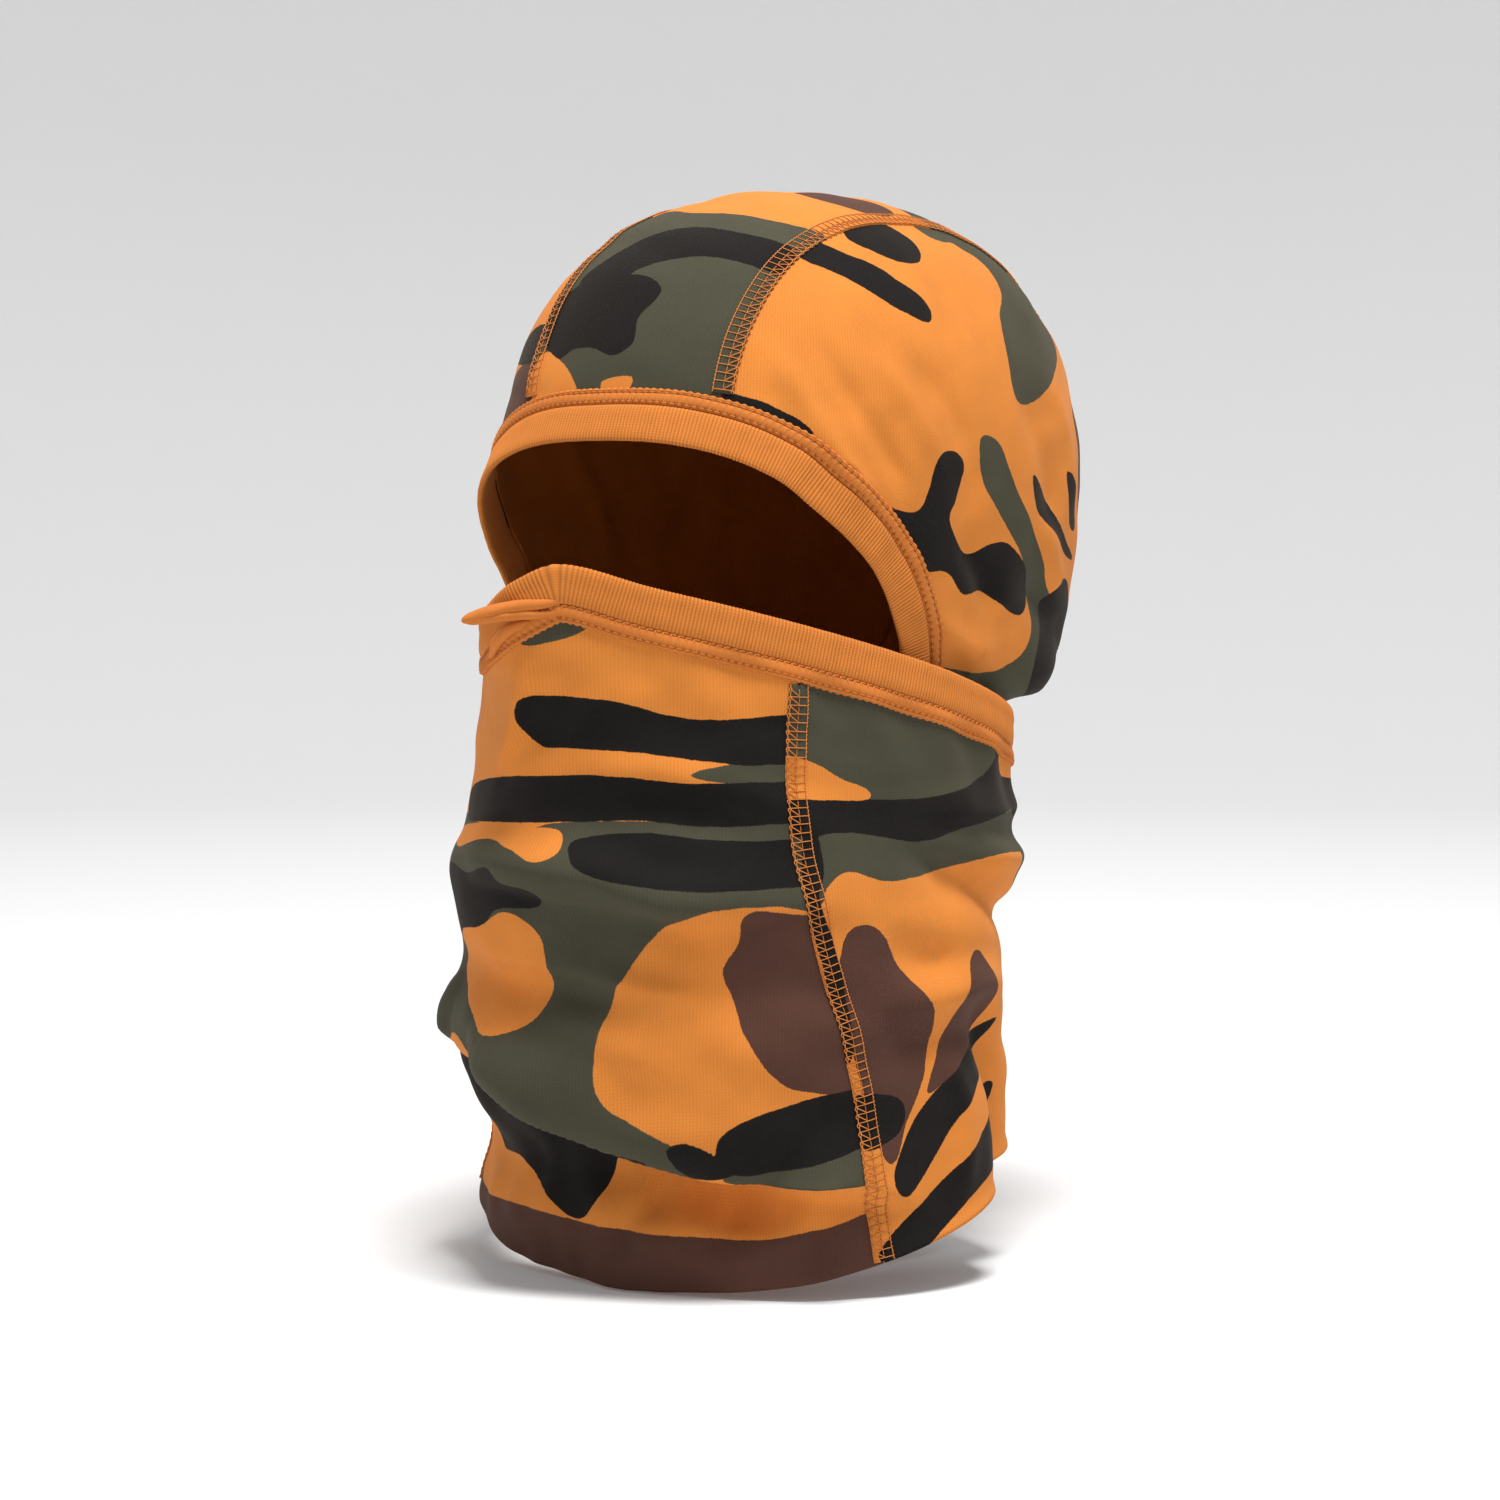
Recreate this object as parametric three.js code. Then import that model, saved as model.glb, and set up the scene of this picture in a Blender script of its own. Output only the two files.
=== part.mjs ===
// A printed-jersey balaclava, built the way it is sewn: a three-panel hood, a two-panel neck tube
// that is pulled up over the nose, rib trims, and the threads of every seam.
// Millimetres. The origin is the middle of the wearer's head, +Z is up, the face looks to -Y
// and the wearer's left is +X.
import * as THREE from 'three';

// ---------------------------------------------------------------- driving sizes
const HEAD_BREADTH = 159;        // across the hood at the temples
const HEAD_FRONT = 103;          // head middle to the forehead, outside the cloth
const HEAD_BACK = 102;           // head middle to the back of the head
const CROWN_HEIGHT = 110;        // head middle to the top of the crown
const CROWN_WIDTH = 71;          // between the two crown seams
const NECK_BREADTH = 120;        // across the foot of the hood
const NECK_FRONT = 77;           // head middle to the front of the hood's foot
const NECK_BACK = 36;            // head middle to the back of the hood's foot
const NECK_JOIN_DEPTH = 145;     // head middle down to the neck join

const NOSE_REACH = 130;          // head middle to the band on the nose
const BAND_APEX_DEPTH = 5.5;     // head middle down to the top of the band on the nose
const BAND_FALL = 0.30;          // how steeply the band drops from the nose to the nape
const BAND_HEIGHT = 11.5;        // rib part of the band
const HEM_DEPTH = 223.5;         // head middle down to the lowest point of the hem
const HEM_RISE = 0.33;           // how steeply the hem climbs from the throat to the nape
const HEM_BREADTH = 176;
const HEM_FRONT = 94;            // head middle to the hem at the throat
const HEM_BACK = 42;             // head middle to the hem at the nape

const CLOTH = 1.2;               // jersey thickness
const RIB = 2.2;                 // rib trim thickness
const THREAD = 0.6;              // height of a thread seam
const SEAM_WIDTH = 6.5;          // flatlock seam, edge to edge
const COVER_WIDTH = 5;           // cover stitch beside a rib trim
const BINDING_WIDTH = 12;        // rib part of the face binding
const CLEARANCE = 0.3;           // left between the edges of pieces that touch
const LIFT = 0.85;               // how far the threads and trims stand off the cloth below them

const BROW_HEIGHT = 42.5;        // head middle up to the top of the face opening
const FACE_TURN = 5;             // degrees that the hood sits turned to the wearer's left
const TUCK_LENGTH = 22;
const TUCK_HEIGHT = 9;
const TUCK_THICKNESS = 4;

const EASE_SIDE = 4;             // room between hood and neck tube beside the cheeks

// ---------------------------------------------------------------- small helpers
const rad = THREE.MathUtils.degToRad;
const vec = (x, y, z) => new THREE.Vector3(x, y, z);

// A smooth curve through rows of [key, value, value, ...] with keys in rising order.
function stations(rows) {
  const slope = (i, c) => {
    const a = rows[Math.max(i - 1, 0)];
    const b = rows[Math.min(i + 1, rows.length - 1)];
    return (b[c] - a[c]) / (b[0] - a[0]);
  };
  return (key) => {
    const k = THREE.MathUtils.clamp(key, rows[0][0], rows.at(-1)[0]);
    const i = Math.min(rows.findLastIndex((r) => r[0] <= k), rows.length - 2);
    const span = rows[i + 1][0] - rows[i][0];
    const t = (k - rows[i][0]) / span;
    return rows[i].slice(1).map((v, c) => {
      const next = rows[i + 1][c + 1];
      return (2 * t ** 3 - 3 * t ** 2 + 1) * v + (t ** 3 - 2 * t ** 2 + t) * span * slope(i, c + 1)
        + (3 * t ** 2 - 2 * t ** 3) * next + (t ** 3 - t ** 2) * span * slope(i + 1, c + 1);
    });
  };
}

// ---------------------------------------------------------------- the two body forms
// A form is a stack of rounded sections. Each has a half width, a front and a back reach from a
// middle line, and a fullness: 2 is an ellipse, less is pointed, more is squarer.
class Form {
  constructor(rows, middle, dome = null) {
    this.at = stations(rows);
    this.middle = middle;
    this.dome = dome;
  }

  section(z) {
    const [half, front, back, fullFront, fullBack] = this.at(z);
    let shrink = 1;
    if (this.dome && z > this.dome.spring) {
      const t = Math.min((z - this.dome.spring) / (this.dome.top - this.dome.spring), 1);
      shrink = Math.max(1 - t ** this.dome.power, 0) ** (1 / this.dome.power);
    }
    return {
      half: half * shrink,
      front: (this.middle + front) * shrink,
      back: (back - this.middle) * shrink,
      fullFront,
      fullBack,
    };
  }

  // 0 on the surface, below 0 inside, about 1 per radius outside.
  level(p) {
    if (this.dome && p.z >= this.dome.top) return p.z / this.dome.top - 1 + 1e-6;
    const s = this.section(p.z);
    const depth = p.y < this.middle ? s.front : s.back;
    const full = p.y < this.middle ? s.fullFront : s.fullBack;
    const sum = (Math.abs(p.x) / s.half) ** full + (Math.abs(p.y - this.middle) / depth) ** full;
    return sum ** (1 / full) - 1;
  }

  normal(p) {
    const step = 0.05;
    const slope = (axis) => {
      const a = p.clone();
      const b = p.clone();
      a[axis] += step;
      b[axis] -= step;
      return this.level(a) - this.level(b);
    };
    return vec(slope('x'), slope('y'), slope('z')).normalize();
  }

  // The point on the surface along a straight line from inside.
  reach(from, direction, limit = 260) {
    let near = 0;
    let far = limit;
    for (let i = 0; i < 40; i += 1) {
      const mid = (near + far) / 2;
      if (this.level(from.clone().addScaledVector(direction, mid)) < 0) near = mid;
      else far = mid;
    }
    return from.clone().addScaledVector(direction, (near + far) / 2);
  }

  // The point at a height and at an angle round the form: 0 is the front, 90 the wearer's left.
  around(z, degrees) {
    const a = rad(degrees);
    return this.reach(vec(0, this.middle, z), vec(Math.sin(a), -Math.cos(a), 0));
  }

  // The same, where a sloping plane z = height(y) crosses the form.
  onSlope(height, degrees) {
    const a = rad(degrees);
    const side = vec(Math.sin(a), -Math.cos(a), 0);
    const inside = (r) => {
      const p = vec(0, this.middle, 0).addScaledVector(side, r);
      p.z = height(p.y);
      return p;
    };
    let near = 0;
    let far = 260;
    for (let i = 0; i < 40; i += 1) {
      const mid = (near + far) / 2;
      if (this.level(inside(mid)) < 0) near = mid;
      else far = mid;
    }
    return inside((near + far) / 2);
  }

  // The nearest point on the surface to a point close to it.
  snap(p) {
    const q = p.clone();
    for (let i = 0; i < 6; i += 1) {
      const n = this.normal(q);
      const step = 0.05;
      const rise = (this.level(q.clone().addScaledVector(n, step)) - this.level(q)) / step;
      q.addScaledVector(n, -this.level(q) / rise);
    }
    return q;
  }
}

const bandTop = (y) => -BAND_APEX_DEPTH - BAND_FALL * (y + NOSE_REACH);
const hemLine = (y) => -HEM_DEPTH + HEM_RISE * (y + HEM_FRONT);
const joinHeight = -NECK_JOIN_DEPTH;
const headHalf = HEAD_BREADTH / 2;
const neckHalf = NECK_BREADTH / 2;

// z, half width, front, back, fullness in front, fullness behind
const hoodRows = [
  [joinHeight, neckHalf, NECK_FRONT, NECK_BACK, 2, 2],
  [joinHeight + 30, neckHalf, NECK_FRONT + 3, NECK_BACK, 2, 2],
  [-85, neckHalf + 2, HEAD_FRONT - 15, NECK_BACK + 7, 2, 2],
  [-64, headHalf - 15, HEAD_FRONT - 9, HEAD_BACK - 52, 2, 2],
  [-48, headHalf - 11, HEAD_FRONT - 5, HEAD_BACK - 38, 2.05, 2.05],
  [-30, headHalf - 6.5, HEAD_FRONT - 2, HEAD_BACK - 10, 2.1, 2.2],
  [-12, headHalf - 3, HEAD_FRONT, HEAD_BACK + 1, 2.2, 2.2],
  [15, headHalf, HEAD_FRONT - 1, HEAD_BACK, 2.25, 2.25],
  [45, headHalf, HEAD_FRONT - 8, HEAD_BACK - 2, 2.25, 2.25],
];
const hood = new Form(hoodRows, 0, { spring: 27, top: CROWN_HEIGHT, power: 2.15 });

// The upper part of the neck tube follows the cheeks and nape of the hood with some ease, and the
// lower part hangs free down to the hem.
const cheekHalf = headHalf - 6.5 + EASE_SIDE;
const napeBack = HEAD_BACK - 42; // the nape is this much further in than the back of the head
const hemHalf = HEM_BREADTH / 2;
const gaiterRows = [
  [-HEM_DEPTH, hemHalf, HEM_FRONT, HEM_BACK, 2.2, 2.1],
  [-205, hemHalf, HEM_FRONT + 2, HEM_BACK + 1, 2.2, 2.1],
  [-188, hemHalf - 1, HEM_FRONT - 2, HEM_BACK + 4, 2.1, 2.1],
  [-168, hemHalf - 1, NECK_FRONT + 34, NECK_BACK + 11, 2, 2.1],
  [-150, hemHalf - 2, NECK_FRONT + 45, NECK_BACK + 8, 2, 2.1],
  [-128, hemHalf - 3, NECK_FRONT + 38, NECK_BACK + 8, 2, 2.1],
  [-102, hemHalf - 5, NOSE_REACH - 4, napeBack - 2, 1.95, 2.1],
  [-80, cheekHalf + 4, NOSE_REACH - 9, napeBack - 2, 1.82, 2.1],
  [-60, cheekHalf + 2.5, NOSE_REACH - 6, napeBack, 1.7, 2.1],
  [-30, cheekHalf, NOSE_REACH, napeBack + 2, 1.6, 2.1],
  [0, cheekHalf - 2, NOSE_REACH, napeBack + 2, 1.55, 2.1],
];
const gaiter = new Form(gaiterRows, -20);

// ---------------------------------------------------------------- closed bodies from grids
// Each grid point has a place and a normal. A body is the grid raised by `outer` along the
// normals, the same grid at `inner`, and a rim that closes them. Closed grids join their ends.
function shell(grid, outer, inner, closed = false) {
  const rows = grid.length;
  const columns = grid[0].length;
  const positions = [];
  for (const lift of [outer, inner]) {
    for (const row of grid) {
      for (const { place, normal } of row) {
        positions.push(...place.clone().addScaledVector(normal, lift).toArray());
      }
    }
  }
  const index = [];
  const layer = rows * columns;
  const at = (r, c, side) => side * layer + r * columns + (c % columns);
  const quad = (a, b, c, d) => index.push(a, b, c, a, c, d);
  const spans = closed ? columns : columns - 1;
  for (let r = 0; r < rows - 1; r += 1) {
    for (let c = 0; c < spans; c += 1) {
      quad(at(r, c, 0), at(r, c + 1, 0), at(r + 1, c + 1, 0), at(r + 1, c, 0));
      quad(at(r + 1, c, 1), at(r + 1, c + 1, 1), at(r, c + 1, 1), at(r, c, 1));
    }
  }
  for (let c = 0; c < spans; c += 1) {
    quad(at(0, c, 1), at(0, c + 1, 1), at(0, c + 1, 0), at(0, c, 0));
    quad(at(rows - 1, c, 0), at(rows - 1, c + 1, 0), at(rows - 1, c + 1, 1), at(rows - 1, c, 1));
  }
  if (!closed) {
    for (let r = 0; r < rows - 1; r += 1) {
      quad(at(r, 0, 0), at(r + 1, 0, 0), at(r + 1, 0, 1), at(r, 0, 1));
      quad(at(r, columns - 1, 1), at(r + 1, columns - 1, 1), at(r + 1, columns - 1, 0),
        at(r, columns - 1, 0));
    }
  }
  const geometry = new THREE.BufferGeometry();
  geometry.setAttribute('position', new THREE.Float32BufferAttribute(positions, 3));
  geometry.setIndex(facingOut(positions, index));
  geometry.computeVertexNormals();
  return geometry;
}

// Turns every triangle round when the body encloses a negative volume.
function facingOut(positions, index) {
  const corner = (i) => vec(positions[3 * i], positions[3 * i + 1], positions[3 * i + 2]);
  let volume = 0;
  for (let i = 0; i < index.length; i += 3) {
    const [a, b, c] = [corner(index[i]), corner(index[i + 1]), corner(index[i + 2])];
    volume += a.dot(b.cross(c));
  }
  if (volume > 0) return index;
  const turned = [];
  for (let i = 0; i < index.length; i += 3) turned.push(index[i], index[i + 2], index[i + 1]);
  return turned;
}

const onForm = (form, place) => ({ place, normal: form.normal(place) });
const steps = (count) => Array.from({ length: count + 1 }, (_, i) => i / count);

// A strip along a path of surface points, `left` to `right` millimetres beside it, measured
// along the surface. Positive is to the left when walking the path with the normal up.
function strip(form, path, left, right, across, outer, inner, closed = false) {
  const places = path.map((place, i) => {
    const before = path[closed ? (i + path.length - 1) % path.length : Math.max(i - 1, 0)];
    const after = path[closed ? (i + 1) % path.length : Math.min(i + 1, path.length - 1)];
    const along = after.clone().sub(before).normalize();
    const side = form.normal(place).cross(along).normalize();
    return steps(across).map((t) => {
      const offset = THREE.MathUtils.lerp(left, right, t);
      return onForm(form, form.snap(place.clone().addScaledVector(side, offset)));
    });
  });
  // Grid rows run along the strip, so that a closed strip joins its ends.
  const grid = steps(across).map((_, j) => places.map((row) => row[j]));
  return shell(grid, outer, inner, closed);
}

// Points evenly spaced along a line of surface points.
function evenly(path, count) {
  const curve = new THREE.CatmullRomCurve3(path, false, 'centripetal');
  return curve.getSpacedPoints(count);
}

// ---------------------------------------------------------------- lines on the hood
const turned = (degrees) => degrees + FACE_TURN;

// The cut edge of the face opening: degrees from its own middle, height. It is an arch whose two
// feet run down behind the neck tube to the neck join.
const EDGE_STEPS = 44;           // points along each half of the opening's edge
const CROWN_STEPS = 40;          // points along the crown panel
const openingArch = [
  [15, BROW_HEIGHT - 1.3],
  [26, BROW_HEIGHT - 5.5],
  [36, BROW_HEIGHT - 13],
  [43, BROW_HEIGHT - 22],
  [50, BROW_HEIGHT - 31],
  [57, BROW_HEIGHT - 42],
  [63, BROW_HEIGHT - 55],
  [68, BROW_HEIGHT - 70],
  [70, BROW_HEIGHT - 88],
  [68, BROW_HEIGHT - 112],
  [64, joinHeight * 0.55 + (BROW_HEIGHT - 112) * 0.45],
  [60, joinHeight],
];

function openingEdge(side, count) {
  const points = [[0, BROW_HEIGHT], ...openingArch];
  const raw = points.map(([degrees, z]) => hood.around(z, turned(side * degrees)));
  return evenly(raw, count).map((p) => hood.snap(p));
}

// The crown strip follows the turn of the face opening. Its lines are cut by upright planes and
// are found by rays that sweep round a hub inside the head.
const crownCentre = Math.sin(rad(FACE_TURN)) * HEAD_FRONT * 0.7;
const crownHub = vec(0, 0, 12);
const RAY_COUNT = 90;
// The height of the opening's edge over a given x near the brow.
function browHeightAt(x) {
  const edge = [...openingEdge(-1, 40).reverse(), ...openingEdge(1, 40)];
  for (let i = 1; i < edge.length; i += 1) {
    const [a, b] = [edge[i - 1], edge[i]];
    if ((a.x - x) * (b.x - x) <= 0 && a.x !== b.x && a.z > 0) {
      return a.z + ((b.z - a.z) * (x - a.x)) / (b.x - a.x);
    }
  }
  return BROW_HEIGHT;
}

// The crown line at x, from the opening's edge over the head to the neck join.
function crownLine(x, count) {
  const first = hood.reach(vec(x, 0, browHeightAt(x)), vec(0, -1, 0));
  const last = hood.reach(vec(x, 0, joinHeight), vec(0, 1, 0));
  const start = Math.atan2(first.z - crownHub.z, first.y);
  const end = Math.atan2(last.z - crownHub.z, last.y);
  const raw = steps(RAY_COUNT).map((t) => {
    const angle = THREE.MathUtils.lerp(start, end, t);
    return hood.reach(vec(x, crownHub.y, crownHub.z), vec(0, Math.cos(angle), Math.sin(angle)));
  });
  return evenly(raw, count).map((p) => hood.snap(p));
}

const seamX = (side) => crownCentre + (side * CROWN_WIDTH) / 2;

// ---------------------------------------------------------------- hood pieces
function crownPanel() {
  const half = CROWN_WIDTH / 2 - CLEARANCE / 2;
  const lines = steps(8).map((t) => crownLine(
    crownCentre + THREE.MathUtils.lerp(-half, half, t), CROWN_STEPS));
  const grid = lines.map((line) => line.map((place) => onForm(hood, place)));
  return shell(grid, 0, -CLOTH);
}

// A side panel is a fan round the ear: rings that grow from a small loop to the panel's outline.
function hoodSide(side) {
  const outline = sideOutline(side);
  const ear = vec(0, 0, 20);
  const rings = [0.04, 0.22, 0.42, 0.6, 0.75, 0.87, 0.95, 1];
  const grid = rings.map((share) => outline.map((edge) => {
    if (share === 1) return onForm(hood, edge);
    const y = THREE.MathUtils.lerp(ear.y, edge.y, share);
    const z = THREE.MathUtils.lerp(ear.z, edge.z, share);
    return onForm(hood, hood.reach(vec(0, y, z), vec(side, 0, 0)));
  }));
  return fanShell(grid, 0, -CLOTH);
}

// The outline of a side panel: up the opening's edge, along the crown seam, along the neck join.
function sideOutline(side) {
  const inset = CLEARANCE / 2;
  const opening = openingEdge(side, EDGE_STEPS).filter((p) => side * (p.x - seamX(side)) > inset);
  const crown = crownLine(seamX(side) + side * inset, CROWN_STEPS);
  const foot = crown.at(-1);
  const front = opening.at(-1);
  const join = steps(12).slice(1, -1).map((t) => {
    const a = Math.atan2(foot.x, -foot.y);
    const b = Math.atan2(front.x, -front.y);
    return hood.around(joinHeight, THREE.MathUtils.radToDeg(THREE.MathUtils.lerp(a, b, t)));
  });
  return [...crown, ...join, ...opening.reverse()];
}

// Like shell, for rings that close on themselves, with the middle filled by a cap on each face.
function fanShell(grid, outer, inner) {
  const geometry = shell(grid, outer, inner, true);
  const columns = grid[0].length;
  const layer = grid.length * columns;
  const positions = Array.from(geometry.getAttribute('position').array);
  const index = Array.from(geometry.getIndex().array);
  // The rim that shell put round the small loop is taken out again, and caps go in.
  const isInnerRim = (a, b, c) => [a, b, c].every((i) => i % layer < columns)
    && [a, b, c].some((i) => i < layer) && [a, b, c].some((i) => i >= layer);
  const kept = [];
  for (let i = 0; i < index.length; i += 3) {
    const [a, b, c] = index.slice(i, i + 3);
    if (!isInnerRim(a, b, c)) kept.push(a, b, c);
  }
  const edgeUses = new Map();
  for (let i = 0; i < kept.length; i += 3) {
    for (const [a, b] of [[0, 1], [1, 2], [2, 0]]) {
      edgeUses.set(`${kept[i + a]}_${kept[i + b]}`, true);
    }
  }
  for (const side of [0, 1]) {
    const hub = positions.length / 3;
    const sum = vec(0, 0, 0);
    for (let c = 0; c < columns; c += 1) {
      const i = side * layer + c;
      sum.add(vec(positions[3 * i], positions[3 * i + 1], positions[3 * i + 2]));
    }
    positions.push(...sum.divideScalar(columns).toArray());
    for (let c = 0; c < columns; c += 1) {
      const a = side * layer + c;
      const b = side * layer + ((c + 1) % columns);
      if (edgeUses.has(`${a}_${b}`)) kept.push(b, a, hub);
      else kept.push(a, b, hub);
    }
  }
  const filled = new THREE.BufferGeometry();
  filled.setAttribute('position', new THREE.Float32BufferAttribute(positions, 3));
  filled.setIndex(facingOut(positions, kept));
  filled.computeVertexNormals();
  return filled;
}

// The whole arch of the opening, from the right foot over the brow to the left foot.
function openingPath(count) {
  const right = openingEdge(-1, count).reverse();
  const left = openingEdge(1, count).slice(1);
  return [...right, ...left];
}

function faceBinding() {
  const path = openingPath(EDGE_STEPS);
  return strip(hood, path, -2 * CLEARANCE, -BINDING_WIDTH, 3, RIB / 2, -RIB / 2 - CLOTH / 2);
}

function bindingCoverStitch() {
  const path = openingPath(EDGE_STEPS);
  return strip(hood, path, COVER_WIDTH + CLEARANCE, CLEARANCE, 1, LIFT + THREAD, LIFT);
}

function crownSeam(side) {
  const start = COVER_WIDTH + 3 * CLEARANCE;
  const end = joinHeight + SEAM_WIDTH + 3 * CLEARANCE;
  const line = crownLine(seamX(side), 120);
  const path = [];
  let walked = 0;
  line.forEach((p, i) => {
    if (i > 0) walked += p.distanceTo(line[i - 1]);
    if (walked > start && p.z > end && i % 3 === 0) path.push(p);
  });
  const half = SEAM_WIDTH / 2;
  return strip(hood, path, -half, half, 2, LIFT + THREAD, LIFT);
}

// ---------------------------------------------------------------- neck tube pieces
// Degrees from the middle of the throat to the side seam, by height.
const seamDegrees = stations([
  [-215, 67.5], [-150, 60.5], [-115, 54], [-80, 49.5], [-40, 50],
]);

const bandFoot = (y) => bandTop(y) - BAND_HEIGHT - CLEARANCE;

// The place a share of the way from the hem (0) to the band (1).
function gaiterPlace(degreesAt, share) {
  let z = THREE.MathUtils.lerp(-200, -40, share);
  let place = gaiter.around(z, degreesAt(z));
  for (let i = 0; i < 24; i += 1) {
    const low = hemLine(place.y);
    const high = bandFoot(place.y);
    z = (z + THREE.MathUtils.lerp(low, high, share)) / 2;
    place = gaiter.around(z, degreesAt(z));
  }
  return place;
}

function gaiterPanel(fromDegrees, toDegrees, columns, rows) {
  const grid = steps(rows).map((v) => steps(columns).map((u) => onForm(gaiter, gaiterPlace(
    (z) => THREE.MathUtils.lerp(fromDegrees(z), toDegrees(z), u), v))));
  return shell(grid, 0, -CLOTH);
}

const seamInset = THREE.MathUtils.radToDeg(CLEARANCE / hemHalf);

function gaiterFrontPanel() {
  const edge = (z) => seamDegrees(z)[0] - seamInset;
  return gaiterPanel((z) => -edge(z), edge, 20, 22);
}

function gaiterBackPanel() {
  const edge = (z) => seamDegrees(z)[0] + seamInset;
  return gaiterPanel(edge, (z) => 360 - edge(z), 34, 20);
}

function gaiterSeam(side) {
  const path = steps(40).map((v) => gaiterPlace((z) => side * seamDegrees(z)[0], 0.003 + v * 0.955));
  const half = SEAM_WIDTH / 2;
  return strip(gaiter, path, -half, half, 2, LIFT + THREAD, LIFT);
}

const RING_STEPS = 72;
function ringPath(height, count) {
  return steps(count).slice(0, -1).map((t) => gaiter.onSlope(height, t * 360));
}

function maskTopBand() {
  const grid = [0, 0.5, 1].map((share) => ringPath(
    (y) => bandTop(y) - BAND_HEIGHT * share, RING_STEPS,
  ).map((place) => onForm(gaiter, place)));
  return shell(grid, (RIB - CLOTH) / 2, (-RIB - CLOTH) / 2, true);
}

function bandCoverStitch() {
  const start = BAND_HEIGHT + CLEARANCE;
  const grid = [0, 1].map((share) => ringPath(
    (y) => bandTop(y) - start - COVER_WIDTH * share, RING_STEPS,
  ).map((place) => onForm(gaiter, place)));
  return shell(grid, LIFT + THREAD, LIFT, true);
}

// The tongue is a tapered, round-ended fold that lies on the band and points forward and to the
// wearer's right.
function noseTuck() {
  const outline = new THREE.Shape();
  const half = TUCK_HEIGHT / 2;
  outline.moveTo(0, -half);
  outline.lineTo(TUCK_LENGTH - 4, -half * 0.6);
  outline.quadraticCurveTo(TUCK_LENGTH, 0, TUCK_LENGTH - 4, half * 0.6);
  outline.lineTo(0, half);
  outline.closePath();
  const geometry = new THREE.ExtrudeGeometry(outline, {
    depth: TUCK_THICKNESS, bevelEnabled: false, curveSegments: 8,
  });
  geometry.translate(0, 0, -TUCK_THICKNESS / 2);
  return geometry;
}

// ---------------------------------------------------------------- hidden join
// Threads inside the neck tube, round the foot of the hood, open in front like the hood's foot.
const JOIN_SETBACK = 12;         // degrees from the opening's foot, clear of its cover stitch
function neckJoinSeam() {
  const half = SEAM_WIDTH / 2;
  const height = joinHeight + half + CLEARANCE;
  const first = turned(openingArch.at(-1)[0] + JOIN_SETBACK);
  const last = turned(360 - openingArch.at(-1)[0] - JOIN_SETBACK);
  const path = steps(48).map((t) => hood.around(height, THREE.MathUtils.lerp(first, last, t)));
  return strip(hood, path, -half, half, 1, LIFT + THREAD, LIFT);
}

// ---------------------------------------------------------------- assembly
const group = new THREE.Group();
const orange = 0xdc853b;
const olive = 0x474535;
const darkThread = 0xc98a3a;

function add(name, geometry, color, roughness = 0.9) {
  const material = new THREE.MeshStandardMaterial({ color, roughness, metalness: 0 });
  const mesh = new THREE.Mesh(geometry, material);
  mesh.name = name;
  group.add(mesh);
  return mesh;
}

add('crown_panel', crownPanel(), olive);
add('hood_left_side', hoodSide(1), orange);
add('hood_right_side', hoodSide(-1), orange);
add('face_binding', faceBinding(), orange);
add('binding_cover_stitch', bindingCoverStitch(), darkThread);
add('crown_seam_left', crownSeam(1), darkThread);
add('crown_seam_right', crownSeam(-1), darkThread);
add('gaiter_front_panel', gaiterFrontPanel(), orange);
add('gaiter_back_panel', gaiterBackPanel(), olive);
add('gaiter_seam_left', gaiterSeam(1), darkThread);
add('gaiter_seam_right', gaiterSeam(-1), darkThread);
add('mask_top_band', maskTopBand(), orange);
add('band_cover_stitch', bandCoverStitch(), darkThread);
add('neck_join_seam', neckJoinSeam(), darkThread);

const tuck = add('nose_tuck', noseTuck(), orange);
const tuckRoot = gaiter.onSlope((y) => bandTop(y) - BAND_HEIGHT, 4);
const tuckOut = vec(-0.75, -0.66, 0).normalize();
tuck.position.copy(tuckRoot).addScaledVector(vec(0, -1, 0), TUCK_THICKNESS / 2 + 1.2);
tuck.rotation.set(Math.PI / 2, 0, 0);
tuck.rotation.order = 'ZYX';
tuck.rotation.z = Math.atan2(tuckOut.y, tuckOut.x);

export default group;
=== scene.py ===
# %% [markdown]
# # A printed jersey balaclava
# On the real object a three-panel hood and a two-panel neck tube are cut from thin printed cotton
# jersey. A ribbed binding runs round the face opening and a ribbed band tops the neck tube, which is
# pulled up over the nose. Flat seams with looped threads join the panels.
# The CAD part gives the size and the place of every piece. This script dresses each of them in
# cloth: the same surfaces again, much finer, with folds, ribs, threads and the print.

# %% Load the frame
import math

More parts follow.
